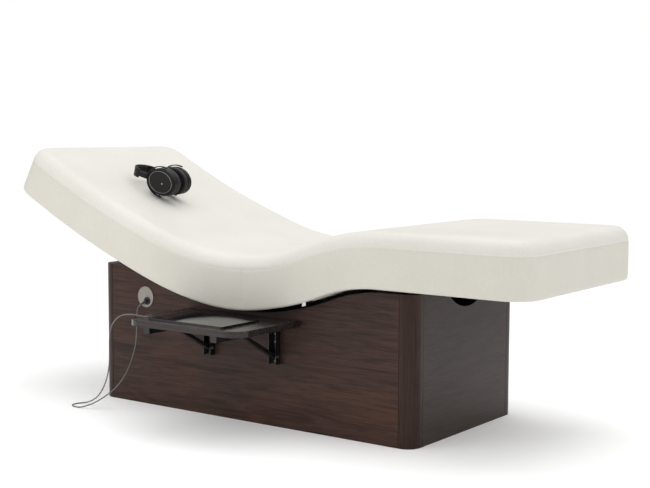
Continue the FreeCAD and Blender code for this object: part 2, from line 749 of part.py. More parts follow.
# ---- Tray and brackets ----
def tray_board():
    """Board with its two front corners rounded and a small rounding on the upper edge."""
    board = box(TRAY_X, (TRAY_FRONT_Y, TRAY_BACK_Y), (TRAY_TOP_Z - TRAY_T, TRAY_TOP_Z))
    front = [edge for edge in upright_edges(board) if edge.BoundBox.YMax < TRAY_FRONT_Y + 1]
    board = board.makeFillet(TRAY_CORNER_R, front)
    upper = [edge for edge in board.Edges if edge.BoundBox.ZMin > TRAY_TOP_Z - STRAIGHT_ENOUGH]
    return board.makeFillet(TRAY_EDGE_R, upper)


def hinge_pin_hole(x, width, y, z, radius):
    """What is cut away for a pin along X."""
    return rod((x - width, y, z), (x + width, y, z), radius)


def wall_arm(x):
    """Upright channel on the panel, open to the front; its flanges carry the hinge and the lower pivot."""
    y = -HALF_W
    round_r = WALL_FLANGE_R
    half = WALL_ARM_W / 2
    block = box((x - half, x + half), (HINGE_Y - round_r, y), (WALL_ARM_LOW_Z, HINGE_Z))
    block = block.fuse(rod((x - half, HINGE_Y, HINGE_Z), (x + half, HINGE_Y, HINGE_Z), round_r))
    block = block.fuse(box((x - half, x + half), (HINGE_Y, y), (HINGE_Z, HINGE_Z + round_r))).removeSplitter()
    inner = half - WALL_ARM_T
    hollow = box((x - inner, x + inner), (HINGE_Y - 2 * round_r, y - WALL_WEB_T), (0, BASE_H))
    arm = block.cut(hollow)
    for z in (HINGE_Z, PIVOT_Z):
        arm = arm.cut(hinge_pin_hole(x, WALL_ARM_W, HINGE_Y, z, PIN_R))
    for z in SCREW_Z:
        arm = arm.cut(rod((x, y - WALL_WEB_T - PAST, z), (x, y + PAST, z), SCREW_R))
    return arm


def shelf_arm(x):
    """Channel under the tray, open downwards, notched to pass the lower pivot when it hangs down."""
    half = SHELF_ARM_W / 2
    low = HINGE_Z - SHELF_FLANGE_R
    high = TRAY_TOP_Z - TRAY_T
    out = HINGE_Y - SHELF_ARM_L
    block = box((x - half, x + half), (out, HINGE_Y), (low, high))
    block = block.fuse(rod((x - half, HINGE_Y, HINGE_Z), (x + half, HINGE_Y, HINGE_Z), SHELF_FLANGE_R))
    inner = half - SHELF_ARM_T
    hollow_y = (out + SHELF_ARM_T, HINGE_Y + 2 * SHELF_FLANGE_R)
    hollow = box((x - inner, x + inner), hollow_y, (low - PAST, high - SHELF_WEB_T))
    arm = block.cut(hollow)
    notch_y = HINGE_Y - (HINGE_Z - PIVOT_Z)
    notch = (notch_y - NOTCH_HALF, notch_y + NOTCH_HALF)
    arm = arm.cut(box((x - half, x + half), notch, (low - PAST, HINGE_Z + NOTCH_HALF)))
    arm = arm.cut(hinge_pin_hole(x, SHELF_ARM_W, HINGE_Y, HINGE_Z, PIN_R))
    for y in SHELF_SCREW_Y:
        arm = arm.cut(rod((x, y, high - SHELF_WEB_T - PAST), (x, y, high + PAST), SCREW_R))
    return arm


def strut_top():
    """The strut's upper end when the tray is up."""
    a = math.radians(STRUT_ANGLE)
    return (HINGE_Y - STRUT_L * math.cos(a), PIVOT_Z + STRUT_L * math.sin(a))


def strut(x):
    """Flat-sided strut with round ends, between the lower pivot and the roller under the tray."""
    y, z = strut_top()
    half = STRUT_W / 2
    along = Vector(0, y - HINGE_Y, z - PIVOT_Z)
    bar = Part.makeBox(STRUT_L, STRUT_W, 2 * STRUT_END_R, Vector(0, -half, -STRUT_END_R))
    turn = Rotation(along, Vector(1, 0, 0), Vector(0, 0, 1), "XYZ")
    bar.Placement = Placement(Vector(x, HINGE_Y, PIVOT_Z), turn)
    ends = []
    for end_y, end_z in ((HINGE_Y, PIVOT_Z), (y, z)):
        ends.append(rod((x - half, end_y, end_z), (x + half, end_y, end_z), STRUT_END_R))
    solid = bar.fuse(ends).removeSplitter()
    solid = solid.cut(hinge_pin_hole(x, STRUT_W, HINGE_Y, PIVOT_Z, PIN_R + PIN_GAP))
    return solid.cut(hinge_pin_hole(x, STRUT_W, y, z, ROLLER_PIN_R))


def strut_rollers():
    """A roller pin across each strut's upper end, running inside the shelf arm."""
    y, z = strut_top()
    half = SHELF_ARM_W / 2 - SHELF_ARM_T - RUN_GAP
    rollers = []
    for x in BRACKET_X.values():
        pin = rod((x - half, y, z), (x + half, y, z), ROLLER_PIN_R)
        for side in (-1, 1):
            start = x + side * (STRUT_W / 2)
            pin = pin.fuse(rod((start, y, z), (x + side * half, y, z), ROLLER_R))
        rollers.append(pin)
    return both(rollers)


def cross_pins(z, radius):
    """A headed pin through each wall arm at a height."""
    pins = []
    for x in BRACKET_X.values():
        half = WALL_ARM_W / 2
        pin = rod((x - half, HINGE_Y, z), (x + half, HINGE_Y, z), radius)
        for side in (-1, 1):
            head_x = x + side * (half + PIN_HEAD_T)
            head = rod((x + side * half, HINGE_Y, z), (head_x, HINGE_Y, z), PIN_HEAD_R)
            pin = pin.fuse(head)
        pins.append(pin)
    return both(pins)


def screws(places, direction, length):
    """Round-head screws; each place is under the head, and direction points out of the work."""
    made = []
    out = Vector(*direction)
    for place in places:
        at = Vector(*place)
        head = Part.makeCylinder(SCREW_HEAD_R, SCREW_HEAD_T, at, out)
        shank = Part.makeCylinder(SCREW_R, length, at - out * length, out)
        made.append(head.fuse(shank))
    return both(made)


def wall_arm_screws():
    """Screws through each wall arm's web, ending in the panel's face."""
    y = -HALF_W - WALL_WEB_T
    places = [(x, y, z) for x in BRACKET_X.values() for z in SCREW_Z]
    return screws(places, (0, -1, 0), WALL_WEB_T)


def shelf_arm_screws():
    """Screws through each shelf arm's web, ending in the tray's lower face."""
    z = TRAY_TOP_Z - TRAY_T - SHELF_WEB_T
    places = [(x, y, z) for x in BRACKET_X.values() for y in SHELF_SCREW_Y]
    return screws(places, (0, 0, -1), SHELF_WEB_T)


# ---- Tablet ----
def tablet_case():
    """Thin slab with rounded corners and a recess for the glass."""
    z = (TRAY_TOP_Z, TRAY_TOP_Z + TABLET_T)
    slab = rounded_box(TABLET_X, TABLET_Y, z, TABLET_CORNER_R)
    return slab.cut(glass_block())


def glass_block():
    """The space of the front glass."""
    rim = TABLET_RIM
    x = (TABLET_X[0] + rim, TABLET_X[1] - rim)
    y = (TABLET_Y[0] + rim, TABLET_Y[1] - rim)
    top = TRAY_TOP_Z + TABLET_T
    return rounded_box(x, y, (top - GLASS_T, top), TABLET_CORNER_R - rim)


def tablet_plug():
    """Plug against the tablet's edge, its tapered sleeve towards the cord."""
    end = Vector(*CORD_POINTS[-1])
    edge = Vector(TABLET_X[0], end.y, end.z)
    half_w = PLUG_SHELL_W / 2
    half_h = PLUG_SHELL_H / 2
    shell_y = (edge.y - half_w, edge.y + half_w)
    shell = box((edge.x - PLUG_SHELL_L, edge.x), shell_y, (edge.z - half_h, edge.z + half_h))
    sleeve = taper(edge - Vector(PLUG_SHELL_L, 0, 0), end, PLUG_SLEEVE_R, CORD_D / 2 + SLEEVE_LIP)
    return shell.fuse(sleeve)


# ---- Headphones ----
def phones_placement():
    """Local x runs across from cup to cup, local y up the back rest, local z off the cushion."""
    at, heading = wave_point(PHONES_STATION, CUSHION_T + PHONES_CLEAR)
    across = Rotation(Vector(0, 0, 1), 90)
    turned = Rotation(Vector(0, 0, 1), PHONES_YAW).multiply(across)
    tilt = Rotation(Vector(0, 1, 0), -heading)
    seat = Placement(Vector(at.x, PHONES_Y, at.z), tilt.multiply(turned))
    lean = Placement(Vector(0, 0, CUP_R + YOKE_T), Rotation(Vector(1, 0, 0), -PHONES_DROP))
    return seat.multiply(lean)


def placed(shape):
    """A shape made about the cups' axis, put in its place on the cushion."""
    shape.Placement = phones_placement().multiply(shape.Placement)
    return shape


def oval(x, radius):
    """An oval bar along the cups' axis, its long way towards the band."""
    start, end = sorted(x)
    middle = Vector(start, 0, 0)
    rim = Part.Ellipse(middle + Vector(0, radius + CUP_LONGER, 0), middle + Vector(0, 0, radius), middle)
    return Part.Face(Part.Wire(rim.toShape())).extrude(Vector(end - start, 0, 0))


def ear_cup(side):
    """Oval shell, domed outside, with a hole for the yoke's pin on each side."""
    outside = side * CUP_OUTSIDE
    inside = side * (CUP_OUTSIDE - CUP_T)
    shell = oval((inside, outside), CUP_R - CUP_EDGE_IN)
    outer_rim = min(shell.Edges, key=lambda edge: abs(edge.BoundBox.Center.x - outside) - 100 * edge.Closed)
    shell = shell.makeFillet(CUP_DOME_R, [outer_rim])
    pivot_x = side * YOKE_PLANE
    return shell.cut(rod((pivot_x, 0, -CUP_R), (pivot_x, 0, CUP_R), YOKE_PIN_R + PIN_GAP))


def ear_cushion(side):
    """Soft ring on the inner face of a cup."""
    start = side * (CUP_OUTSIDE - CUP_T)
    end = side * (CUP_OUTSIDE - CUP_T - EAR_PAD_T)
    ring = oval((start, end), CUP_R - EAR_PAD_IN).cut(oval((start, end), EAR_HOLE_R))
    inner_rims = [edge for edge in ring.Edges if edge.Closed and abs(edge.BoundBox.Center.x - end) < 0.1]
    return ring.makeFillet(EAR_PAD_T * EAR_PAD_ROUND, inner_rims)


def yoke(side):
    """Fork round the cup's edge: two pins into the cup, and a flat stem up into the band."""
    x = side * YOKE_PLANE
    half = YOKE_W / 2
    ring = oval((x - half, x + half), CUP_R + YOKE_T).cut(oval((x - half, x + half), CUP_R))
    reach = CUP_R + CUP_LONGER + YOKE_REACH
    keep = box((x - half, x + half), (-YOKE_W, reach), (-reach, reach))
    fork = ring.common(keep)
    for end in (-1, 1):
        fork = fork.fuse(rod((x, 0, end * (CUP_R - YOKE_PIN_IN)), (x, 0, end * (CUP_R + PAST)), YOKE_PIN_R))
    stem_y = (CUP_R + CUP_LONGER, BAND_STRAIGHT + STEM_IN)
    stem = box((x - STEM_T / 2, x + STEM_T / 2), stem_y, (-STEM_W / 2, STEM_W / 2))
    return fork.fuse(stem).removeSplitter()


def headband():
    """Arch with a straight sleeve at each end for the yokes' stems."""
    outer = BAND_ARCH_R + BAND_T
    arch_y = BAND_TOP - outer
    z = (-BAND_W / 2, BAND_W / 2)
    ring = Part.makeCylinder(outer, BAND_W, Vector(0, arch_y, z[0]))
    ring = ring.cut(Part.makeCylinder(BAND_ARCH_R, BAND_W, Vector(0, arch_y, z[0])))
    band = ring.common(box((-outer, outer), (arch_y, BAND_TOP), z))
    for side in (-1, 1):
        x = side * YOKE_PLANE
        half = SLEEVE_T / 2
        sleeve_y = (BAND_STRAIGHT, arch_y + SLEEVE_INTO_ARCH)
        sleeve = box((x - half, x + half), sleeve_y, (-SLEEVE_W / 2, SLEEVE_W / 2))
        slot_x = (x - STEM_T / 2 - RUN_GAP, x + STEM_T / 2 + RUN_GAP)
        slot_y = (BAND_STRAIGHT - PAST, BAND_STRAIGHT + STEM_IN + PAST)
        slot = box(slot_x, slot_y, (-STEM_W / 2 - RUN_GAP, STEM_W / 2 + RUN_GAP))
        band = band.fuse(sleeve).cut(slot)
    return band.removeSplitter()


def headband_pad():
    """Soft pad inside the top of the arch."""
    arch_y = BAND_TOP - BAND_ARCH_R - BAND_T
    half = BAND_W / 2 - PAD_SHY
    pad = Part.makeCylinder(BAND_ARCH_R, 2 * half, Vector(0, arch_y, -half))
    pad = pad.cut(Part.makeCylinder(BAND_ARCH_R - PAD_T, 2 * half, Vector(0, arch_y, -half)))
    return pad.common(box((-PAD_HALF, PAD_HALF), (arch_y, BAND_TOP), (-half, half)))


# ---- Writing the parts ----
def build_base():
    save("front_panel", side_panel(-1))
    save("back_panel", side_panel(1))
    save("head_end_panel", head_end_panel())
    save("foot_end_panel", foot_end_panel())
    for end, end_name in ((-1, "head"), (1, "foot")):
        for side, side_name in ((-1, "front"), (1, "back")):
            save(f"{side_name}_{end_name}_post", corner_post(end, side))
    save("bottom_board", bottom_board())
    save("levelling_feet", levelling_feet())
    save("floor_rails", floor_rails())
    save("floor_cross_members", floor_cross_members())
    save("column_motors", column_motors())
    save("lift_control_box", control_box())
    save("audio_amplifier", amplifier())
    save("mains_inlet", mains_inlet())


def build_lift():
    for end, x in COLUMN_X.items():
        for number, name in enumerate(("outer", "middle", "inner")):
            save(f"{end}_column_{name}", stage(x, number))
    save("outer_glide_collars", both(collar(x, 0) for x in COLUMN_X.values()))
    save("middle_glide_collars", both(collar(x, 1) for x in COLUMN_X.values()))
    save("column_top_plates", top_plates())
    save("crossbeams", crossbeams())
    save("wave_ribs", wave_ribs())
    save("foot_beam", foot_beam())
    save("wave_board", wave_board())
    save("cushion_edge_clips", edge_clips())
    save("cushion_cover", cushion_cover())
    save("cushion_core", cushion_block(COVER_T))


def build_tray():
    save("tray_board", tray_board())
    for name, x in BRACKET_X.items():
        save(f"{name}_wall_arm", wall_arm(x))
        save(f"{name}_shelf_arm", shelf_arm(x))
        save(f"{name}_strut", strut(x))
    save("strut_rollers", strut_rollers())
    save("tray_hinge_pins", cross_pins(HINGE_Z, PIN_R - PIN_GAP))
    save("strut_pivot_pins", cross_pins(PIVOT_Z, PIN_R))
    save("wall_arm_screws", wall_arm_screws())
    save("shelf_arm_screws", shelf_arm_screws())


def build_sound():
    save("socket_plate", socket_plate())
    save("jack_socket", jack_socket())
    save("jack_plug", jack_plug())
    save("cord", cord())
    save("tablet_plug", tablet_plug())
    save("tablet_case", tablet_case())
    save("tablet_glass", glass_block())


def build_headphones():
    save("headband", placed(headband()))
    save("headband_pad", placed(headband_pad()))
    for side, name in ((-1, "near"), (1, "far")):
        save(f"{name}_yoke", placed(yoke(side)))
        save(f"{name}_ear_cup", placed(ear_cup(side)))
        save(f"{name}_ear_cushion", placed(ear_cushion(side)))


os.makedirs("parts", exist_ok=True)
build_base()
build_lift()
build_tray()
build_sound()
build_headphones()
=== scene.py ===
"""Looks of the facial treatment bed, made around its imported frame.

Metres. +X runs to the foot end, -Y is the side with the folding tray, +Z is up.
"""
import math

import bpy
from mathutils import Matrix, Vector, noise
from mathutils.bvhtree import BVHTree
from mathutils.kdtree import KDTree


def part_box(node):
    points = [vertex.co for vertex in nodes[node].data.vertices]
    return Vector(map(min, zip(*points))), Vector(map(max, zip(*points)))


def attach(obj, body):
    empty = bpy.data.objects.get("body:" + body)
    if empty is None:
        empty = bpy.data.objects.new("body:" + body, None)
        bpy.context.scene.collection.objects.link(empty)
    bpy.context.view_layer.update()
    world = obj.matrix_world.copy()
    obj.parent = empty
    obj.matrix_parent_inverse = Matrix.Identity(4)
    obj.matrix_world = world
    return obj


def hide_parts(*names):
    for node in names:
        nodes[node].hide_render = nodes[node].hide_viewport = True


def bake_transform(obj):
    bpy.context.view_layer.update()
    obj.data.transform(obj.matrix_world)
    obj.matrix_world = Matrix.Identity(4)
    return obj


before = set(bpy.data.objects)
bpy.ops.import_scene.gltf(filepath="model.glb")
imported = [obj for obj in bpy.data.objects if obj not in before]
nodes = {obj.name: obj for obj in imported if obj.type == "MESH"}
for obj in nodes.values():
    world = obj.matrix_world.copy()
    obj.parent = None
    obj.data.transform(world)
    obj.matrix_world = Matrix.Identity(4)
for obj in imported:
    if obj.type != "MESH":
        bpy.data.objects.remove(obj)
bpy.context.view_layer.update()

TINY = 1e-9

# ---- Wave: the cushion's lower face from its lowest point outwards, as (length, curvature) ----
LUMBAR_R = 1.218
LUMBAR_SLOPE = 19.1       # degrees, where the lumbar curve runs into the back's
BACK_R = 4.171
BACK_SLOPE = 29.64        # degrees, at the head end
THIGH_R = 0.960
THIGH_SLOPE = 21.2        # degrees, where the thigh curve turns over into the knee's
KNEE_R = 0.580
LUMBAR_TURN = math.radians(LUMBAR_SLOPE)
BACK_TURN = math.radians(BACK_SLOPE - LUMBAR_SLOPE)
THIGH_TURN = math.radians(THIGH_SLOPE)
COVER_LOW, COVER_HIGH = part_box("cushion_cover")
SEAT_LOW_Z = COVER_LOW.z
LEVEL_X = (THIGH_R + KNEE_R) * math.sin(THIGH_TURN)     # the leg rest is level from here on
LEVEL_Z = SEAT_LOW_Z + (THIGH_R + KNEE_R) * (1 - math.cos(THIGH_TURN))
HEAD_PATH = [(LUMBAR_R * LUMBAR_TURN, 1 / LUMBAR_R), (BACK_R * BACK_TURN, 1 / BACK_R)]
FOOT_PATH = [
    (THIGH_R * THIGH_TURN, 1 / THIGH_R),
    (KNEE_R * THIGH_TURN, -1 / KNEE_R),
    (COVER_HIGH.x - LEVEL_X, 0.0),
]
HEAD_LENGTH = sum(length for length, _ in HEAD_PATH)
FOOT_LENGTH = sum(length for length, _ in FOOT_PATH)

# ---- Cushion ----
THICK = 0.182
HALF_W = COVER_HIGH.y
CORNER_R = 0.092
CUSHION_INSET = 0.005     # the shape is this much smaller before it is filled
PLAN_HALF_X = (HEAD_LENGTH + FOOT_LENGTH) / 2 - CUSHION_INSET
PLAN_HALF_Y = HALF_W - CUSHION_INSET
PLAN_R = CORNER_R - CUSHION_INSET
PLAN_MIDDLE = (FOOT_LENGTH - HEAD_LENGTH) / 2     # the station of the flat shape's middle
TOP_ROLL_R = 0.046
LOW_ROLL_R = 0.008
ROLL_STEPS = 7
GRID_STEP = 0.014
SEAM_HEIGHT = 0.131       # the seam round the side, over the lower face
SEAM_HALF = 0.0035        # rows of points this far each side of a seam
SEAM_DEPTH = 0.0026
SIDE_SEAM = 0.031         # station of the upright seams in the two long sides
SAG = 0.009               # how far the lower edge hangs down beside the board at the seat
SAG_STATION = -0.04       # where it hangs lowest
SAG_REACH = 0.19          # how far it spreads along the cushion from there
BOARD_HALF = 0.247        # the board's half width

# ---- Filling the cover ----
FILL_PRESSURE = 4.0
FILL_STIFFNESS = 40       # against stretch and against squeeze
FILL_BENDING = 4
FILL_FRAMES = 20
FILL_CAP = 0.009          # no point moves further than this

# ---- Sewing the cover; each scale is the noise's fineness along x, y and z ----
UNDERSIDE = -0.6          # a normal that points further down than this is on the lower face
SLACK = 0.0014            # how far the cover wanders between its seams
SLACK_SCALE = (5, 5, 5)
PUCKER = 0.0012           # small puckers beside a seam
PUCKER_SCALE = (38, 38, 9)
PUCKER_REACH = 0.030
FOLD = 0.0042             # upright folds at the foot corners
FOLD_SCALE = (15, 15, 3)
FOLD_X = (0.70, 0.92)     # they begin and are full this far towards the foot end
FOLD_Y = (0.16, 0.36)     # the same, out to a side
GATHER = 0.0011           # gathers along the hem at the foot end
GATHER_X = (0.78, 0.95)
GATHER_PITCH = 0.030
HEM_REACH = 0.016
STITCH_PITCH = 0.0075
STITCH_LENGTH = 0.0052
STITCH_FLAT = 0.6         # the share of a stitch that lies on the cover; its ends go in
STITCH_R = 0.00045
STITCH_SIDES = 6
STITCH_ABOVE = 0.007      # over the seam

# ---- Cord: out of the jack plug, down to the floor, over itself and up to the tablet's plug ----
CORD_D = 0.0044
CORD_SIDES = 12
CORD_STEPS = 10           # points read from the spline, from one of its own points to the next
CORD_POINTS = [
    (-0.475, -0.346, 0.3595), (-0.4865, -0.34875, 0.35192), (-0.4905, -0.35, 0.336), (-0.489, -0.352, 0.312),
    (-0.484, -0.359, 0.276), (-0.475, -0.371, 0.234), (-0.466, -0.392, 0.194), (-0.46, -0.42, 0.15),
    (-0.465, -0.448, 0.108), (-0.483, -0.474, 0.072), (-0.509, -0.496, 0.046), (-0.538, -0.513, 0.025),
    (-0.568, -0.524, 0.011), (-0.599, -0.532, 0.0022), (-0.628, -0.533, 0.0022), (-0.651, -0.52, 0.0022),
    (-0.658, -0.496, 0.0022), (-0.648, -0.477, 0.0025), (-0.622, -0.472, 0.007), (-0.585, -0.476, 0.022),
    (-0.55, -0.484, 0.044), (-0.517, -0.494, 0.076), (-0.488, -0.505, 0.114), (-0.463, -0.518, 0.155),
    (-0.444, -0.533, 0.199), (-0.427, -0.55, 0.243), (-0.405, -0.57, 0.286), (-0.375, -0.59, 0.322),
    (-0.338, -0.606, 0.351), (-0.298, -0.616, 0.37), (-0.262, -0.615, 0.375), (-0.235, -0.608, 0.373),
    (-0.212, -0.602, 0.37), (-0.19, -0.602, 0.37),
]

# ---- Headphones ----
PHONES_STATION = -0.701
PHONES_Y = -0.081
PHONES_YAW = math.radians(5.6)
PHONES_DROP = math.radians(7.2)   # tips the band down towards the cushion
PHONES_CLEAR = 0.0015     # between the yokes and the cushion's top
CUP_R = 0.055
CUP_LONGER = 0.013        # how much more an oval's half length is than its half width
CUP_OUTSIDE = 0.058       # a cup's outer face, from the middle between the cups
CUP_T = 0.025
YOKE_T = 0.0035
CUP_RING_R = 0.0395       # the metal ring on a cup's outer face
CUP_RING_WIRE_R = 0.0010
CUP_RING_POINTS = 96
CUP_RING_SIDES = 10
CAP_GAP = 0.002           # between the ring's middle and the cap's edge
CAP_PROFILE = [(1.0, -0.0006), (1.0, 0.0006), (0.975, 0.0012)]     # (share of its radius, height)
CAP_DISH = 0.0009         # how much lower the cap's middle is than its rim
CAP_DISH_SHARES = (0.93, 0.78, 0.6, 0.4, 0.2, 0.03)
LAMP_PLACE = (-0.009, -0.004)     # on a cup's outer face, from its middle
LAMP_PROFILE = [(0.0026, -0.0004), (0.0026, 0.0010), (0.0021, 0.0016), (0.0012, 0.0019), (0.0003, 0.0020)]
LAMP_OUT = 0.0002         # how far it stands off that face
LAMP_SIDES = 32
EAR_PAD_T = 0.019
EAR_PAD_R = 0.052
EAR_HOLE_R = 0.024
EAR_PAD_CREASE = 0.0006
EAR_PAD_PINCH = 0.0012    # how far its seam is drawn in
EAR_PAD_PINCH_REACH = 0.12     # radians round its section
CLOTH_PROFILE = [         # (radius, height), as the lamp's
    (EAR_HOLE_R - 0.0005, 0.0), (EAR_HOLE_R - 0.001, 0.0008),
    (0.016, 0.0016), (0.008, 0.0019), (0.001, 0.002),
]
BAND_TOP = 0.161
BAND_ARCH_R = 0.044
BAND_T = 0.004
BAND_PAD_T = 0.007
BAND_PAD_W = 0.030
BAND_PAD_HALF = 0.032
BAND_CHANNELS = 5
CHANNEL_LOW = 0.62        # the padding's thickness at a sewn channel, as a share of its full one
CHANNEL_NARROW = 0.93     # the same, of its width
PAD_END_LOW = 0.25        # the same two shares at the padding's ends
PAD_END_NARROW = 0.6
PAD_END_RISE = 4          # how fast it swells from its ends

# ---- Camera ----
CAMERA_PLACE = (2.66, -3.5386, 0.9826)
CAMERA_AZIMUTH = math.radians(36.04)
CAMERA_DOWN = math.radians(5.21)
CAMERA_ROLL = math.radians(0.23)
CAMERA_LENS = 69.2
CAMERA_FAR = 100

# ---- Studio ----
FLOOR_SIZE = 120
FLOOR_GLOW = 0.10         # lifts the far floor to the backdrop's white
SKY_SEEN = 1.0            # the white backdrop's strength, straight to the camera
SKY_LOW = 0.30            # the sky's strength as light, level with the floor
SKY_HIGH = 1.32           # the same, overhead
LIGHTS = [                # name, place, the point it faces, size, watts
    ("overhead", (0.2, 0.5, 4.0), (0.3, 0, 0.5), (4.0, 2.6), 46),
    ("foot_fill", (3.4, -0.4, 1.8), (0.4, 0, 0.5), (1.6, 1.4), 8.5),
    ("side_fill", (-1.0, -2.3, 0.9), (-0.25, -0.4, 0.45), (1.2, 0.9), 9.5),
]

# ---- Surfaces: linear colours; veneers are dark, middle and warm, other groups from dark to light ----
NOISE_LOW, NOISE_HIGH = 0.3, 0.7  # most of a noise's values lie between these
WHITE = (1.0, 1.0, 1.0)
PAPER = [(0.93, 0.93, 0.93), (0.95, 0.95, 0.95)]
SIDE_WOOD = [(0.022, 0.0115, 0.0085), (0.058, 0.0300, 0.0228), (0.105, 0.040, 0.022)]
END_WOOD = [(0.022, 0.0115, 0.0085), (0.040, 0.024, 0.0185), (0.052, 0.028, 0.020)]
# The posts' stain is darker than the panels' as painted shade from the cushion above them.
POST_WOOD_SHADED = [(0.013, 0.007, 0.0052), (0.033, 0.017, 0.0125), (0.07, 0.028, 0.015)]
TRAY_WOOD = [(0.016, 0.012, 0.0115), (0.032, 0.025, 0.023), (0.047, 0.0245, 0.0185)]
BOARD_STAIN = [(0.006, 0.006, 0.006), (0.017, 0.016, 0.015)]
IVORY = [(0.675, 0.656, 0.602), (0.715, 0.698, 0.648)]
# The band round the sides and under the cushion: a little warmer than the top panel's ivory, and darker as
# painted shade on the sides.
IVORY_BAND_SHADED = [(0.615, 0.590, 0.525), (0.655, 0.632, 0.568)]
PHONES_LEATHER = [(0.006, 0.005, 0.005), (0.012, 0.010, 0.010)]
PLATE_METAL = [(0.255, 0.232, 0.21), (0.30, 0.275, 0.25)]
DARK_SCREEN = [(0.006, 0.006, 0.007), (0.010, 0.010, 0.011)]
BLACK_CLOTH = [(0.006, 0.006, 0.006), (0.03, 0.03, 0.032)]
THREAD = (0.56, 0.54, 0.49)
FOAM = (0.70, 0.64, 0.48)
FRAME_BLACK = (0.012, 0.012, 0.013)
BRACKET_BLACK = (0.0045, 0.0045, 0.0048)
CASE_GREY = (0.03, 0.03, 0.033)
ALUMINIUM = (0.62, 0.63, 0.64)
ZINC = (0.66, 0.66, 0.65)
RING_METAL = (0.30, 0.285, 0.27)
PLASTIC_BLACK = (0.0065, 0.0065, 0.007)
RUBBER_BLACK = (0.012, 0.012, 0.012)
CORD_GREY = (0.105, 0.100, 0.094)
TABLET_BLACK = (0.006, 0.006, 0.007)
PHONES_BLACK = (0.0042, 0.0034, 0.0031)


# ---- Camera, lights and floor ----
def make_camera():
    data = bpy.data.cameras.new("camera")
    data.lens = CAMERA_LENS
    data.clip_end = CAMERA_FAR
    camera = bpy.data.objects.new("camera", data)
    bpy.context.scene.collection.objects.link(camera)
    turn = Matrix.Rotation(CAMERA_AZIMUTH, 4, "Z") @ Matrix.Rotation(math.pi / 2 - CAMERA_DOWN, 4, "X")
    camera.matrix_world = Matrix.Translation(CAMERA_PLACE) @ turn @ Matrix.Rotation(CAMERA_ROLL, 4, "Z")
    bpy.context.scene.camera = camera


def make_light(name, place, target, size, power):
    data = bpy.data.lights.new(name, "AREA")
    data.shape = "RECTANGLE"
    data.size, data.size_y = size
    data.energy = power
    light = bpy.data.objects.new(name, data)
    bpy.context.scene.collection.objects.link(light)
    light.location = place
    light.visible_camera = False
    light.rotation_euler = (Vector(target) - Vector(place)).to_track_quat("-Z", "Y").to_euler()


def make_studio():
    """A white backdrop that gives less light near the horizon, and soft lights the camera doesn't see."""
    world = bpy.data.worlds.new("studio")
    world.use_nodes = True
    tree = world.node_tree
    backdrop = tree.nodes["Background"]
    backdrop.inputs["Color"].default_value = rgba(WHITE)
    way = add(tree, "TexCoord").outputs["Generated"]
    height = add(tree, "SeparateXYZ", {"Vector": way}).outputs["Z"]
    seen = add(tree, "LightPath").outputs["Is Camera Ray"]
    strength = span(tree, seen, span(tree, height, SKY_LOW, SKY_HIGH), SKY_SEEN)
    tree.links.new(strength, backdrop.inputs["Strength"])
    bpy.context.scene.world = world
    bpy.context.scene.view_settings.view_transform = "Standard"
    for light in LIGHTS:
        make_light(*light)


def make_floor():
    bpy.ops.mesh.primitive_plane_add(size=FLOOR_SIZE)
    floor = bpy.context.object
    floor.name = "floor"
    floor.data.materials.append(floor_paper())


# ---- Material helpers ----
def add(tree, kind, inputs=None, **settings):
    """A shader node; an input is a value or another node's output."""
    made = tree.nodes.new("ShaderNode" + kind)
    for key, value in settings.items():
        setattr(made, key, value)
    for key, value in (inputs or {}).items():
        if isinstance(value, bpy.types.NodeSocket):
            tree.links.new(value, made.inputs[key])
        else:
            made.inputs[key].default_value = value
    return made


def material(name, **sockets):
    """A material, its node tree and its shader, with constants on the shader's own sockets."""
    made = bpy.data.materials.new(name)
    made.use_nodes = True
    tree = made.node_tree
    shader = tree.nodes["Principled BSDF"]
    for key, value in sockets.items():
        shader.inputs[key.replace("_", " ")].default_value = value
    return made, tree, shader


def rgba(color):
    return (*color, 1.0)


def object_place(tree, scale=(1, 1, 1)):
    """Coordinates fixed to the object, scaled along each axis."""
    place = add(tree, "TexCoord").outputs["Object"]
    return add(tree, "Mapping", {"Vector": place, "Scale": scale}).outputs["Vector"]


def noise_of(tree, vector, scale, detail=4.0, roughness=0.55, distortion=0.0):
    values = {
        "Vector": vector, "Scale": scale, "Detail": detail, "Roughness": roughness, "Distortion": distortion,
    }
    return add(tree, "TexNoise", values).outputs["Fac"]


def ramp(tree, factor, stops):
    """Colours at positions from 0 to 1."""
    made = add(tree, "ValToRGB", {"Fac": factor})
    elements = made.color_ramp.elements
    while len(elements) < len(stops):
        elements.new(0.5)
    for element, (position, color) in zip(elements, stops):
        element.position = position
        element.color = rgba(color)
    return made.outputs["Color"]


def between(tree, factor, colors, start=NOISE_LOW, end=NOISE_HIGH):
    """A colour that runs from the first to the second as factor runs from start to end."""
    dark, light = colors
    return ramp(tree, factor, [(start, dark), (end, light)])


def span(tree, factor, low, high, start=0.0, end=1.0):
    """A value that runs from low to high as factor runs from start to end."""
    values = {"Value": factor, "From Min": start, "From Max": end, "To Min": low, "To Max": high}
    return add(tree, "MapRange", values).outputs["Result"]


def mixed(tree, factor, first, second, blend="MIX"):
    """Two colours mixed."""
    made = tree.nodes.new("ShaderNodeMix")
    made.data_type = "RGBA"
    made.blend_type = blend
    sockets = {s.identifier: s for s in made.inputs}
    ends = (("Factor_Float", factor), ("A_Color", first), ("B_Color", second))
    for key, value in ends:
        if isinstance(value, bpy.types.NodeSocket):
            tree.links.new(value, sockets[key])
        else:
            sockets[key].default_value = value
    return next(s for s in made.outputs if s.identifier == "Result_Color")


def bump(tree, shader, height, distance, strength=1.0, under=None):
    values = {"Height": height, "Distance": distance, "Strength": strength}
    if under is not None:
        values["Normal"] = under
    normal = add(tree, "Bump", values).outputs["Normal"]
    tree.links.new(normal, shader.inputs["Normal"])
    return normal


def wire(tree, shader, **sockets):
    for key, value in sockets.items():
        tree.links.new(value, shader.inputs[key.replace("_", " ")])


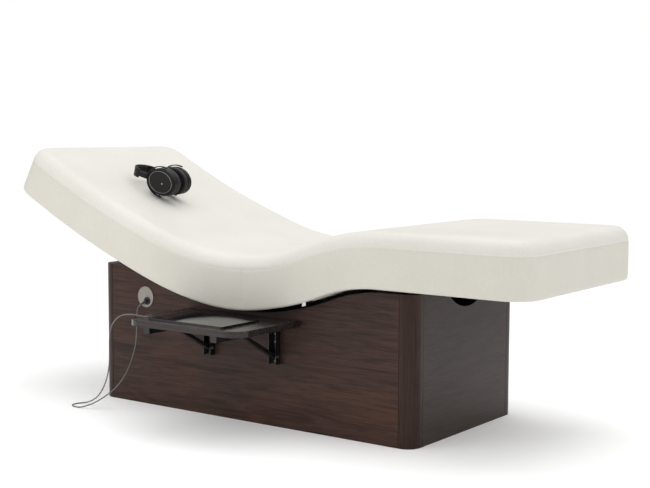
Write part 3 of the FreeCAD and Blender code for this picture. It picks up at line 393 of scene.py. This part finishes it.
# ---- Materials ----
def floor_paper():
    """Matt pale paper."""
    made, tree, shader = material(
        "floor_paper", Roughness=0.9, Specular_IOR_Level=0.1, Emission_Strength=FLOOR_GLOW
    )
    mottle = noise_of(tree, object_place(tree), scale=1.2)
    wire(tree, shader, Base_Color=between(tree, mottle, PAPER))
    return made


def leatherette(name, colors, pebble=900.0, rough=(0.40, 0.52)):
    """Sewn leatherette: small pebbles, soft creases between them, a little unevenness in colour."""
    made, tree, shader = material(name, Specular_IOR_Level=0.42, Sheen_Weight=0.06, Sheen_Roughness=0.4)
    place = object_place(tree)
    broad = noise_of(tree, place, scale=3.5, detail=3.0)
    fine = noise_of(tree, place, scale=160.0, detail=3.0)
    tint = between(tree, fine, [(0.965, 0.962, 0.955), WHITE], 0.35, 0.65)
    wire(tree, shader, Base_Color=mixed(tree, 1.0, between(tree, broad, colors), tint, "MULTIPLY"))
    wire(tree, shader, Roughness=span(tree, fine, *rough, NOISE_LOW, NOISE_HIGH))
    cells = add(tree, "TexVoronoi", {"Vector": place, "Scale": pebble}, feature="DISTANCE_TO_EDGE")
    grain = span(tree, cells.outputs["Distance"], 0.0, 1.0, 0.0, 0.35)
    under = bump(tree, shader, grain, distance=0.00012)
    creases = noise_of(tree, place, scale=45.0, detail=2.0)
    bump(tree, shader, creases, distance=0.00035, strength=0.5, under=under)
    return made


def grain_place(tree, axis, ratio):
    """Coordinates squeezed along one axis, so that a pattern runs out long that way."""
    scale = [1.0, 1.0, 1.0]
    scale[axis] = ratio
    return object_place(tree, scale)


def veneer(name, axis, stain, rough=(0.36, 0.50), coat=0.0, coat_roughness=0.28):
    """Stained open-grain veneer under lacquer; axis, 0 to 2, is the way that the grain runs."""
    made, tree, shader = material(
        name, Specular_IOR_Level=0.18, Coat_Weight=coat, Coat_Roughness=coat_roughness
    )
    dark, mid, warm = stain
    wide = grain_place(tree, axis, 0.11)
    narrow = grain_place(tree, axis, 0.05)
    hairline = grain_place(tree, axis, 0.018)
    figure = noise_of(tree, wide, scale=22.0, detail=5.0, roughness=0.62, distortion=1.6)
    pore = noise_of(tree, hairline, scale=520.0, detail=2.0, roughness=0.5)
    lines = noise_of(tree, narrow, scale=95.0, detail=4.0, roughness=0.6, distortion=0.4)
    patch = noise_of(tree, object_place(tree, (1.0, 1.0, 1.6)), scale=2.6, detail=3.0, roughness=0.5)
    color = ramp(tree, figure, [(0.30, dark), (0.52, mid), (0.72, dark)])
    warmth = span(tree, patch, 0.0, 0.75, 0.45, 0.72)
    warm_lines = add(tree, "Math", {0: warmth, 1: lines}, operation="MULTIPLY").outputs["Value"]
    color = mixed(tree, warm_lines, color, rgba(warm))
    shade = between(tree, lines, [(0.66, 0.64, 0.63), WHITE], 0.32, 0.62)
    color = mixed(tree, 0.8, color, shade, "MULTIPLY")
    open_pore = between(tree, pore, [(0.45, 0.43, 0.42), WHITE], 0.38, 0.5)
    wire(tree, shader, Base_Color=mixed(tree, 0.7, color, open_pore, "MULTIPLY"))
    wire(tree, shader, Roughness=span(tree, lines, *rough, NOISE_LOW, NOISE_HIGH))
    under = bump(tree, shader, pore, distance=0.00009, strength=0.8)
    bump(tree, shader, lines, distance=0.00010, strength=0.5, under=under)
    return made


def stained_board():
    """Black stained plywood."""
    made, tree, shader = material("stained_board", Specular_IOR_Level=0.3)
    fibre = noise_of(tree, object_place(tree, (0.08, 1.0, 1.0)), scale=240.0, detail=3.0)
    wire(tree, shader, Base_Color=between(tree, fibre, BOARD_STAIN))
    wire(tree, shader, Roughness=span(tree, fibre, 0.5, 0.7))
    bump(tree, shader, fibre, distance=0.00012, strength=0.6)
    return made


def powder_coat(name, color, rough=(0.38, 0.5)):
    """Baked paint with fine orange peel, a little duller where it has been handled."""
    made, tree, shader = material(name, Specular_IOR_Level=0.45)
    place = object_place(tree)
    peel = noise_of(tree, place, scale=900.0, detail=2.0)
    worn = noise_of(tree, place, scale=30.0, detail=4.0)
    lighter = tuple(1.5 * part + 0.004 for part in color)
    wire(tree, shader, Base_Color=between(tree, worn, [color, lighter], 0.4, 0.75))
    wire(tree, shader, Roughness=span(tree, worn, *rough, NOISE_LOW, NOISE_HIGH))
    bump(tree, shader, peel, distance=0.00006, strength=0.7)
    return made


def bare_metal(name, color, rough, stretch=(1, 1, 1)):
    """Brushed, plated or anodised metal; the brushing runs along the axis with the smallest stretch."""
    made, tree, shader = material(name, Metallic=1.0)
    brushed = noise_of(tree, object_place(tree, stretch), scale=600.0, detail=3.0)
    cloudy = noise_of(tree, object_place(tree), scale=18.0, detail=3.0)
    darker = tuple(0.86 * part for part in color)
    wire(tree, shader, Base_Color=between(tree, cloudy, [darker, color]))
    wire(tree, shader, Roughness=span(tree, brushed, *rough, NOISE_LOW, NOISE_HIGH))
    bump(tree, shader, brushed, distance=0.00002, strength=0.5)
    return made


def turned_plate():
    """Satin metal turned on a lathe: fine rings about the plate's middle."""
    made, tree, shader = material("turned_plate", Metallic=0.85)
    low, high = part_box("socket_plate")
    middle = (low + high) / 2
    place = add(tree, "TexCoord").outputs["Object"]
    offset = add(tree, "VectorMath", {0: place, 1: (middle.x, 0, middle.z)}, operation="SUBTRACT")
    flat = add(tree, "VectorMath", {0: offset.outputs["Vector"], 1: (1, 0, 1)}, operation="MULTIPLY")
    radius = add(tree, "VectorMath", {0: flat.outputs["Vector"]}, operation="LENGTH").outputs["Value"]
    rings = add(tree, "TexNoise", {"W": radius, "Scale": 2600.0, "Detail": 2.0}, noise_dimensions="1D")
    cloudy = noise_of(tree, place, scale=60.0, detail=3.0)
    wire(tree, shader, Base_Color=between(tree, cloudy, PLATE_METAL))
    wire(tree, shader, Roughness=span(tree, rings.outputs["Fac"], 0.42, 0.58))
    bump(tree, shader, rings.outputs["Fac"], distance=0.00002, strength=0.6)
    return made


def moulded(name, color, rough=(0.42, 0.55), grain=1400.0, depth=0.00004, specular=0.4):
    """Moulded plastic or rubber with a spark-eroded texture."""
    made, tree, shader = material(name, Specular_IOR_Level=specular)
    place = object_place(tree)
    texture = noise_of(tree, place, scale=grain, detail=2.0)
    handled = noise_of(tree, place, scale=24.0, detail=3.0)
    lighter = tuple(1.35 * part + 0.002 for part in color)
    wire(tree, shader, Base_Color=between(tree, handled, [color, lighter], 0.35))
    wire(tree, shader, Roughness=span(tree, handled, *rough, NOISE_LOW, NOISE_HIGH))
    bump(tree, shader, texture, distance=depth, strength=0.8)
    return made


def polished_glass():
    """Glass over a dark screen that is switched off, with faint finger marks."""
    made, tree, shader = material("polished_glass", Specular_IOR_Level=0.6)
    place = object_place(tree)
    marks = noise_of(tree, place, scale=26.0, detail=5.0, roughness=0.6, distortion=1.2)
    wire(tree, shader, Base_Color=between(tree, marks, DARK_SCREEN))
    wire(tree, shader, Roughness=span(tree, marks, 0.03, 0.12, 0.4, 0.7))
    return made


def speaker_mesh():
    """Woven cloth inside the ear cups."""
    made, tree, shader = material("speaker_mesh", Specular_IOR_Level=0.2, Roughness=0.85)
    place = object_place(tree)
    weave = add(tree, "TexVoronoi", {"Vector": place, "Scale": 1100.0}).outputs["Distance"]
    wire(tree, shader, Base_Color=between(tree, weave, BLACK_CLOTH, 0.1, 0.6))
    bump(tree, shader, weave, distance=0.0002, strength=1.0)
    return made


def make_materials():
    """Every material by name."""
    return {
        "wood_along": veneer("wood_along", 0, SIDE_WOOD),
        "wood_across": veneer("wood_across", 1, END_WOOD, rough=(0.34, 0.44), coat=0.08),
        # Posts: the same veneer, darkened as painted shade from the cushion's overhang.
        "wood_upright_shaded": veneer("wood_upright_shaded", 2, POST_WOOD_SHADED, rough=(0.3, 0.4), coat=0.05),
        "wood_tray": veneer("wood_tray", 0, TRAY_WOOD, rough=(0.22, 0.32), coat=0.3, coat_roughness=0.16),
        "board": stained_board(),
        "ivory": leatherette("ivory_leatherette", IVORY),
        "ivory_band_shaded": leatherette("ivory_band_shaded", IVORY_BAND_SHADED),
        "ivory_thread": moulded("ivory_thread", THREAD, rough=(0.6, 0.7), grain=3000.0),
        "foam": moulded("foam", FOAM, rough=(0.8, 0.9), grain=700.0, depth=0.0003, specular=0.1),
        "frame_paint": powder_coat("frame_paint", FRAME_BLACK),
        "bracket_paint": powder_coat("bracket_paint", BRACKET_BLACK, rough=(0.30, 0.42)),
        "case_paint": powder_coat("case_paint", CASE_GREY, rough=(0.5, 0.65)),
        "anodised": bare_metal("anodised", ALUMINIUM, rough=(0.28, 0.40), stretch=(1, 1, 0.03)),
        "zinc": bare_metal("zinc", ZINC, rough=(0.22, 0.38)),
        "ring_metal": bare_metal("ring_metal", RING_METAL, rough=(0.22, 0.34)),
        "plate": turned_plate(),
        "black_plastic": moulded("black_plastic", PLASTIC_BLACK),
        "rubber": moulded(
            "rubber", RUBBER_BLACK, rough=(0.7, 0.8), grain=900.0, depth=0.00006, specular=0.25
        ),
        "cord": moulded("cord_rubber", CORD_GREY, rough=(0.45, 0.55), grain=1800.0, depth=0.00002),
        "tablet_shell": moulded(
            "tablet_shell", TABLET_BLACK, rough=(0.18, 0.28), grain=2400.0, depth=0.00001, specular=0.5
        ),
        "glass": polished_glass(),
        "phones_shell": moulded("phones_shell", PHONES_BLACK, rough=(0.34, 0.46), specular=0.22),
        "phones_leather": leatherette("phones_leather", PHONES_LEATHER, pebble=700.0, rough=(0.38, 0.5)),
        "speaker_mesh": speaker_mesh(),
    }


def finish_cad_nodes(looks):
    """Each carried-over CAD node gets its material."""
    groups = {
        "wood_along": ["front_panel", "back_panel"],
        "wood_across": ["head_end_panel", "foot_end_panel"],
        "wood_upright_shaded": ["front_head_post", "front_foot_post", "back_head_post", "back_foot_post"],
        "wood_tray": ["tray_board"],
        "board": ["bottom_board", "wave_board"],
        "foam": ["cushion_core"],
        "frame_paint": [
            "floor_rails", "floor_cross_members", "crossbeams", "wave_ribs", "foot_beam", "column_top_plates",
        ],
        "bracket_paint": [f"{s}_{p}" for s in ("left", "right") for p in ("wall_arm", "shelf_arm", "strut")],
        "case_paint": ["audio_amplifier", "lift_control_box"],
        "anodised": [f"{e}_column_{s}" for e in ("head", "foot") for s in ("outer", "middle", "inner")],
        "zinc": [
            "tray_hinge_pins", "strut_pivot_pins", "strut_rollers", "wall_arm_screws", "shelf_arm_screws",
            "cushion_edge_clips",
        ],
        "plate": ["socket_plate"],
        "black_plastic": [
            "outer_glide_collars", "middle_glide_collars", "column_motors", "mains_inlet", "jack_socket",
            "jack_plug", "tablet_plug",
        ],
        "rubber": ["levelling_feet"],
        "tablet_shell": ["tablet_case"],
        "glass": ["tablet_glass"],
        "phones_shell": ["headband", "near_yoke", "far_yoke", "near_ear_cup", "far_ear_cup"],
    }
    for look, names in groups.items():
        for name in names:
            data = nodes[name].data
            data.materials.clear()
            data.materials.append(looks[look])


# ---- Mesh helpers ----
def new_piece(name, points, faces, look, body=None):
    """A smooth mesh piece with its material, on its body."""
    data = bpy.data.meshes.new(name)
    data.from_pydata([tuple(p) for p in points], [], faces)
    data.update()
    piece = bpy.data.objects.new(name, data)
    bpy.context.scene.collection.objects.link(piece)
    data.materials.append(look)
    data.polygons.foreach_set("use_smooth", [True] * len(data.polygons))
    if body:
        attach(piece, body)
    return piece


def apply_modifiers(piece):
    shape = piece.evaluated_get(bpy.context.evaluated_depsgraph_get())
    data = bpy.data.meshes.new_from_object(shape)
    piece.modifiers.clear()
    piece.data = data


def circle(radius, count):
    """Points evenly round a circle."""
    turns = [2 * math.pi * k / count for k in range(count)]
    return [(radius * math.cos(turn), radius * math.sin(turn)) for turn in turns]


def squarish(angle):
    """How far out a stuffed section bulges at an angle round it, where a round one is 1 all round."""
    return 1 / (abs(math.cos(angle)) ** 3 + abs(math.sin(angle)) ** 3) ** (1 / 3)


def tube_faces(rounds, ring, closed=False):
    """Faces between rounds of ring points each; the ends are capped unless the last round meets the first."""
    faces = []
    for i in range(rounds if closed else rounds - 1):
        here, there = i * ring, (i + 1) % rounds * ring
        for k in range(ring):
            faces.append((here + k, here + (k + 1) % ring, there + (k + 1) % ring, there + k))
    if not closed:
        faces.append(tuple(reversed(range(ring))))
        faces.append(tuple(range((rounds - 1) * ring, rounds * ring)))
    return faces


def swept(path, radius, sides, closed=False):
    """Points and faces of a round tube along a path, whose frame turns as little as it can."""
    count = len(path)
    tangents = []
    for i in range(count):
        before = path[i - 1] if (closed or i) else path[i]
        after = path[(i + 1) % count] if (closed or i < count - 1) else path[i]
        tangents.append((after - before).normalized())
    side = tangents[0].orthogonal().normalized()
    points = []
    for i, (at, tangent) in enumerate(zip(path, tangents)):
        if i:
            side = tangents[i - 1].rotation_difference(tangent) @ side
        side = (side - tangent * side.dot(tangent)).normalized()
        other = tangent.cross(side)
        points += [at + side * across + other * up for across, up in circle(radius, sides)]
    return points, tube_faces(count, sides, closed)


def lathed(profile, place, sides=64):
    """Points and faces of a profile of (radius, height) turned about local x, with its two ends capped."""
    points = []
    for radius, height in profile:
        points += [place @ Vector((height, y, z)) for y, z in circle(radius, sides)]
    return points, tube_faces(len(profile), sides)


# ---- The wave ----
def along(path, distance):
    """x, z and slope after a distance from the seat's lowest point."""
    x, z, slope = 0.0, SEAT_LOW_Z, 0.0
    for length, curvature in path:
        step = min(distance, length)
        turned = slope + step * curvature
        if curvature:
            x += (math.sin(turned) - math.sin(slope)) / curvature
            z += (math.cos(slope) - math.cos(turned)) / curvature
        else:
            x += step * math.cos(slope)
            z += step * math.sin(slope)
        slope = turned
        distance -= step
    return x, z, slope


def on_wave(station, y, height):
    """The point over the lower face at a station, towards the foot end, and a height square to it."""
    side = 1 if station >= 0 else -1
    x, z, slope = along(FOOT_PATH if side > 0 else HEAD_PATH, abs(station))
    return Vector((side * (x - height * math.sin(slope)), y, z + height * math.cos(slope)))


# ---- Cushion ----
def grid_lines(half, seams=()):
    """Lines across one direction: close over the rolled edges, even between them, and three at each seam."""
    roll = [TOP_ROLL_R * (1 - math.cos(math.pi / 2 * k / ROLL_STEPS)) for k in range(ROLL_STEPS + 1)]
    inner = half - TOP_ROLL_R
    steps = round(2 * inner / GRID_STEP)
    lines = [-half + t for t in roll]
    lines += [-inner + 2 * inner * k / steps for k in range(1, steps)]
    lines += [half - t for t in reversed(roll)]
    for line in seams:
        lines = [x for x in lines if abs(x - line) > 2 * SEAM_HALF]
        lines += [line - SEAM_HALF, line, line + SEAM_HALF]
    return sorted(lines)


def rounded_plan(x, y):
    """A point of the cushion's rectangle, moved to where it lies in the same one with round corners."""
    straight_x, straight_y = PLAN_HALF_X - PLAN_R, PLAN_HALF_Y - PLAN_R
    inner_x = max(-straight_x, min(straight_x, x))
    inner_y = max(-straight_y, min(straight_y, y))
    dx, dy = x - inner_x, y - inner_y
    far = math.hypot(dx, dy)
    if far < TINY:
        return x, y
    scale = max(abs(dx), abs(dy)) / far
    return inner_x + dx * scale, inner_y + dy * scale


def drop(edge_distance, radius):
    """How far a rolled edge has fallen at a distance in from the side."""
    if edge_distance >= radius:
        return 0.0
    return radius - math.sqrt(max(0.0, radius ** 2 - (radius - edge_distance) ** 2))


def ramped(value, start, end):
    """0 before start, 1 after end, even between them."""
    return min(1.0, max(0.0, (value - start) / (end - start)))


def sag(station, y, height):
    """How far the cover hangs down beside the board at the seat: most at its lower edge, none at the seam."""
    near_seat = math.exp(-(((station - SAG_STATION) / SAG_REACH) ** 2))
    return SAG * near_seat * ramped(abs(y), BOARD_HALF, HALF_W) * max(0.0, 1 - height / SEAM_HEIGHT)


def cushion_shape():
    """Points and faces of the unfilled cushion, what is sewn down, the seams, and the band's faces, which get
    the darker ivory of painted shade.
    """
    xs = grid_lines(PLAN_HALF_X, [SIDE_SEAM - PLAN_MIDDLE])
    ys = grid_lines(PLAN_HALF_Y)
    last_i, last_j = len(xs) - 1, len(ys) - 1
    points, faces, index = [], [], {}
    seam, shaded_band_faces = set(), []

    def put(part, i, j, height):
        x, y = rounded_plan(xs[i], ys[j])
        station = x + PLAN_MIDDLE
        index[(part, i, j)] = len(points)
        points.append(on_wave(station, y, height - sag(station, y, height)))

    for part, roll in (("under", LOW_ROLL_R), ("top", TOP_ROLL_R)):
        for i, x in enumerate(xs):
            for j, y in enumerate(ys):
                fallen = drop(min(PLAN_HALF_X - abs(x), PLAN_HALF_Y - abs(y)), roll)
                put(part, i, j, fallen if part == "under" else THICK - CUSHION_INSET - fallen)
        for i in range(last_i):
            for j in range(last_j):
                face = [index[(part, *c)] for c in ((i, j), (i + 1, j), (i + 1, j + 1), (i, j + 1))]
                faces.append(face[::-1] if part == "under" else face)
        if part == "under":
            shaded_band_faces += range(len(faces))
    rim = [(i, 0) for i in range(last_i)] + [(last_i, j) for j in range(last_j)]
    rim += [(i, last_j) for i in range(last_i, 0, -1)] + [(0, j) for j in range(last_j, 0, -1)]
    side = SEAM_HEIGHT - SEAM_HALF - LOW_ROLL_R
    count = round(side / GRID_STEP)
    heights = [SEAM_HEIGHT] + [SEAM_HEIGHT - SEAM_HALF - side * k / count for k in range(count)]
    upright = {i for i, x in enumerate(xs) if abs(x + PLAN_MIDDLE - SIDE_SEAM) < TINY}
    for row, height in enumerate(heights):
        for i, j in rim:
            put(row, i, j, height)
            if row == 0 or (i in upright and j in (0, last_j)):
                seam.add(index[(row, i, j)])
    rows = [[index[(part, *c)] for c in rim] for part in ("top", *range(len(heights)), "under")]
    for upper, lower in zip(rows, rows[1:]):
        if upper is not rows[0]:  # the first row belongs to the top panel
            shaded_band_faces += range(len(faces), len(faces) + len(rim))
        for k in range(len(rim)):
            nxt = (k + 1) % len(rim)
            faces.append([upper[k], lower[k], lower[nxt], upper[nxt]])
    pinned = seam | {number for (part, _, _), number in index.items() if part == "under"}
    return points, faces, pinned, seam, shaded_band_faces


def fill_cushion(cushion, pinned):
    """Blows the cover up against its seams, then keeps a soft limit on how far it has moved."""
    before = [v.co.copy() for v in cushion.data.vertices]
    group = cushion.vertex_groups.new(name="sewn")
    group.add(sorted(pinned), 1.0, "REPLACE")
    cloth = cushion.modifiers.new("fill", "CLOTH")
    settings = cloth.settings
    settings.vertex_group_mass = "sewn"
    settings.use_pressure = True
    settings.uniform_pressure_force = FILL_PRESSURE
    settings.effector_weights.gravity = 0.0
    settings.tension_stiffness = FILL_STIFFNESS
    settings.compression_stiffness = FILL_STIFFNESS
    settings.bending_stiffness = FILL_BENDING
    cloth.point_cache.frame_start = 1
    cloth.point_cache.frame_end = FILL_FRAMES
    for step in range(1, FILL_FRAMES + 1):
        bpy.context.scene.frame_set(step)
    shape = cushion.evaluated_get(bpy.context.evaluated_depsgraph_get())
    after = [v.co.copy() for v in shape.data.vertices]
    cushion.modifiers.remove(cloth)
    bpy.context.scene.frame_set(1)
    for vertex, start, end in zip(cushion.data.vertices, before, after):
        move = end - start
        if move.length > TINY:
            vertex.co = start + move.normalized() * FILL_CAP * math.tanh(move.length / FILL_CAP)
    cushion.vertex_groups.remove(group)


def ripple(at, scale):
    """Smooth noise at a point, finer along an axis with a larger scale."""
    return noise.noise(Vector([part * fineness for part, fineness in zip(at, scale)]))


def cover_move(at, normal, beside):
    """How far out a point of the cover lies, for its slack, puckers, folds and gathers."""
    upright = 1.0 - abs(normal.z)
    corner = ramped(at.x, *FOLD_X) * ramped(abs(at.y), *FOLD_Y)
    hem = math.exp(-max(0.0, at.z - LEVEL_Z) / HEM_REACH) * ramped(at.x, *GATHER_X)
    move = SLACK * ripple(at, SLACK_SCALE)
    move += PUCKER * beside * ripple(at, PUCKER_SCALE)
    move += FOLD * corner * upright * ripple(at, FOLD_SCALE)
    move += GATHER * hem * upright * math.sin((at.x + at.y) * 2 * math.pi / GATHER_PITCH)
    return move


def sew_cushion(cushion, seam):
    """Pulls the seams in, and lets the rest of the cover wander a little; its underside stays flat."""
    data = cushion.data
    data.update()
    normals = [v.normal.copy() for v in data.vertices]
    sewn = KDTree(len(seam))
    for k in seam:
        sewn.insert(data.vertices[k].co, k)
    sewn.balance()
    moves = []
    for k, vertex in enumerate(data.vertices):
        if k in seam:
            moves.append(-SEAM_DEPTH)
        elif normals[k].z < UNDERSIDE:
            moves.append(0.0)
        else:
            beside = math.exp(-sewn.find(vertex.co)[2] / PUCKER_REACH)
            moves.append(cover_move(vertex.co, normals[k], beside))
    for vertex, normal, move in zip(data.vertices, normals, moves):
        vertex.co += normal * move
    data.update()


def make_cushion(looks):
    points, faces, pinned, seam, shaded_band_faces = cushion_shape()
    cushion = new_piece("cushion", points, faces, looks["ivory"])
    # The band's faces get the second ivory, darkened as painted shade on the sides.
    cushion.data.materials.append(looks["ivory_band_shaded"])
    for k in shaded_band_faces:
        cushion.data.polygons[k].material_index = 1
    fill_cushion(cushion, pinned)
    sew_cushion(cushion, seam)
    smooth = cushion.modifiers.new("smooth", "SUBSURF")
    smooth.levels = smooth.render_levels = 1
    apply_modifiers(cushion)
    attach(cushion, "lift_frame")
    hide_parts("cushion_cover", "cushion_core")
    return cushion


def seam_path(height, step):
    """Points all round the cushion's side at a height, evenly spaced: straight runs and quarter turns."""
    straight_x, straight_y = PLAN_HALF_X - PLAN_R, PLAN_HALF_Y - PLAN_R
    centres = [(u * straight_x, v * straight_y) for u, v in ((1, -1), (1, 1), (-1, 1), (-1, -1))]
    quarter = PLAN_R * math.pi / 2
    found = []
    gone = 0.0
    for k, (x, y) in enumerate(centres):
        from_x, from_y = centres[k - 1]
        straight = math.hypot(x - from_x, y - from_y)
        while gone < straight + quarter:
            share = min(1.0, gone / straight)
            angle = (k - 1) * math.pi / 2 + max(0.0, gone - straight) / PLAN_R
            at_x = from_x + (x - from_x) * share + PLAN_R * math.cos(angle)
            at_y = from_y + (y - from_y) * share + PLAN_R * math.sin(angle)
            found.append(on_wave(at_x + PLAN_MIDDLE, at_y, height))
            gone += step
        gone -= straight + quarter
    return found


def make_stitches(cushion, looks):
    """Top-stitching just over the seam: short threads laid on the cover."""
    tree = BVHTree.FromPolygons(
        [v.co for v in cushion.data.vertices], [tuple(p.vertices) for p in cushion.data.polygons]
    )
    path = seam_path(SEAM_HEIGHT + STITCH_ABOVE, STITCH_PITCH)
    points, faces = [], []
    for here, there in zip(path, path[1:] + path[:1]):
        at, normal, _, _ = tree.find_nearest(here)
        along_seam = (there - here).normalized()
        run = (along_seam - normal * along_seam.dot(normal)).normalized() * STITCH_LENGTH / 2
        flat = run * STITCH_FLAT
        line = [at - run - normal * STITCH_R, at - flat, at + flat, at + run - normal * STITCH_R]
        more_points, more_faces = swept(line, STITCH_R, STITCH_SIDES)
        start = len(points)
        points += more_points
        faces += [tuple(start + k for k in face) for face in more_faces]
    new_piece("cushion_stitching", points, faces, looks["ivory_thread"], "lift_frame")


# ---- Cord ----
def cord_line():
    """The cord's centreline, read from its spline."""
    data = bpy.data.curves.new("cord_route", "CURVE")
    data.dimensions = "3D"
    spline = data.splines.new("NURBS")
    spline.points.add(len(CORD_POINTS) - 1)
    for point, place in zip(spline.points, CORD_POINTS):
        point.co = (*place, 1.0)
    spline.order_u = 3
    spline.use_endpoint_u = True
    data.resolution_u = CORD_STEPS
    route = bpy.data.objects.new("cord_route", data)
    bpy.context.scene.collection.objects.link(route)
    bpy.context.view_layer.update()
    shape = bpy.data.meshes.new_from_object(route.evaluated_get(bpy.context.evaluated_depsgraph_get()))
    line = [v.co.copy() for v in shape.vertices]
    bpy.data.meshes.remove(shape)
    bpy.data.objects.remove(route)
    return line


def make_cord(looks):
    line = cord_line()
    points, faces = swept(line, CORD_D / 2, CORD_SIDES)
    piece = new_piece("audio_cord", points, faces, looks["cord"])
    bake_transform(piece)
    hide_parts("cord")


# ---- Headphones ----
def phones_frame():
    """Local x runs across from cup to cup, local y up the back rest, local z off the cushion."""
    slope = along(HEAD_PATH, -PHONES_STATION)[2]
    at = on_wave(PHONES_STATION, PHONES_Y, THICK + PHONES_CLEAR)
    seat = Matrix.Translation(at) @ Matrix.Rotation(slope, 4, "Y")
    turned = seat @ Matrix.Rotation(PHONES_YAW + math.pi / 2, 4, "Z")
    return turned @ Matrix.Translation((0, 0, CUP_R + YOKE_T)) @ Matrix.Rotation(-PHONES_DROP, 4, "X")


def oval_place(side, x, radius):
    """The place where a circle of this radius becomes the cup's oval; local x points out for side 1."""
    longer = (radius + CUP_LONGER) / radius
    return phones_frame() @ Matrix.Translation((x, 0, 0)) @ Matrix.Diagonal((side, longer, 1, 1))


def make_ear_cushion(name, side, looks):
    """A stuffed ring with a pinched seam round its outside."""
    place = phones_frame() @ Matrix.Translation((side * (CUP_OUTSIDE - CUP_T - EAR_PAD_T / 2), 0, 0))
    middle_r = (EAR_HOLE_R + EAR_PAD_R) / 2
    half_r = (EAR_PAD_R - EAR_HOLE_R) / 2
    half_t = EAR_PAD_T / 2
    rounds, ring = 120, 32
    points = []
    for i in range(rounds):
        turn = 2 * math.pi * i / rounds
        for k in range(ring):
            angle = 2 * math.pi * k / ring
            crease = EAR_PAD_CREASE * noise.noise(Vector((9 * turn, 3 * math.sin(angle), side)))
            pinch = EAR_PAD_PINCH * math.exp(-((angle / EAR_PAD_PINCH_REACH) ** 2))
            out = middle_r + (half_r * squarish(angle) + crease - pinch) * math.cos(angle)
            across = (half_t * squarish(angle) + crease) * math.sin(angle)
            points.append(place @ Vector((across, (out + CUP_LONGER) * math.cos(turn), out * math.sin(turn))))
    faces = tube_faces(rounds, ring, closed=True)
    piece = new_piece(f"{name}_ear_pad", points, faces, looks["phones_leather"], f"{name}_cup")
    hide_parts(f"{name}_ear_cushion")


def make_cup_ring(name, side, looks):
    """The metal ring on a cup's outer face."""
    place = oval_place(side, side * CUP_OUTSIDE, CUP_RING_R)
    path = [place @ Vector((0.0, y, z)) for y, z in circle(CUP_RING_R, CUP_RING_POINTS)]
    points, faces = swept(path, CUP_RING_WIRE_R, CUP_RING_SIDES, closed=True)
    new_piece(f"{name}_cup_ring", points, faces, looks["ring_metal"], f"{name}_cup")


def make_cup_cap(name, side, looks):
    """The dished cap inside a cup's metal ring."""
    rim = CAP_PROFILE[-1][1]
    shares = CAP_PROFILE + [(share, rim - CAP_DISH * (1 - share ** 2)) for share in CAP_DISH_SHARES]
    profile = [((CUP_RING_R - CAP_GAP) * share, height) for share, height in shares]
    points, faces = lathed(profile, oval_place(side, side * CUP_OUTSIDE, CUP_RING_R))
    new_piece(f"{name}_cup_cap", points, faces, looks["phones_shell"], f"{name}_cup")


def make_cup_button(name, side, looks):
    """A small round lamp on a cup's outer face."""
    place = phones_frame() @ Matrix.Translation((side * (CUP_OUTSIDE + LAMP_OUT), *LAMP_PLACE))
    points, faces = lathed(LAMP_PROFILE, place @ Matrix.Diagonal((side, 1, 1, 1)), LAMP_SIDES)
    new_piece(f"{name}_cup_button", points, faces, looks["zinc"], f"{name}_cup")


def make_speaker_cloth(name, side, looks):
    """The cloth inside a cup, which bulges a little towards the ear."""
    place = oval_place(-side, side * (CUP_OUTSIDE - CUP_T), EAR_HOLE_R)
    points, faces = lathed(CLOTH_PROFILE, place)
    new_piece(f"{name}_speaker_cloth", points, faces, looks["speaker_mesh"], f"{name}_cup")


def make_band_pad(looks):
    """Padding inside the band, sewn into channels."""
    place = phones_frame()
    centre_y = BAND_TOP - BAND_ARCH_R - BAND_T
    reach = math.asin(BAND_PAD_HALF / (BAND_ARCH_R - BAND_PAD_T))
    rounds, ring = 91, 28
    points = []
    for i in range(rounds):
        share = i / (rounds - 1)
        turn = -reach + 2 * reach * share
        swell = abs(math.sin(math.pi * BAND_CHANNELS * share)) ** 0.5
        ends = min(1.0, math.sin(math.pi * share) * PAD_END_RISE) ** 0.5
        thick = BAND_PAD_T * (CHANNEL_LOW + (1 - CHANNEL_LOW) * swell) * max(PAD_END_LOW, ends)
        wide = BAND_PAD_W / 2 * (CHANNEL_NARROW + (1 - CHANNEL_NARROW) * swell) * max(PAD_END_NARROW, ends)
        for k in range(ring):
            angle = 2 * math.pi * k / ring
            radius = BAND_ARCH_R - thick / 2 + thick / 2 * squarish(angle) * math.cos(angle)
            z = wide * squarish(angle) * math.sin(angle)
            points.append(place @ Vector((radius * math.sin(turn), centre_y + radius * math.cos(turn), z)))
    faces = tube_faces(rounds, ring)
    piece = new_piece("band_padding", points, faces, looks["phones_leather"], "headphones")
    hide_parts("headband_pad")


def make_headphones(looks):
    for side, name in ((-1, "near"), (1, "far")):
        make_ear_cushion(name, side, looks)
        make_cup_ring(name, side, looks)
        make_cup_cap(name, side, looks)
        make_cup_button(name, side, looks)
        make_speaker_cloth(name, side, looks)
    make_band_pad(looks)


# ---- Finish ----
make_camera()
make_studio()
looks = make_materials()
make_cord(looks)
make_floor()
finish_cad_nodes(looks)
cushion = make_cushion(looks)
make_stitches(cushion, looks)
make_headphones(looks)
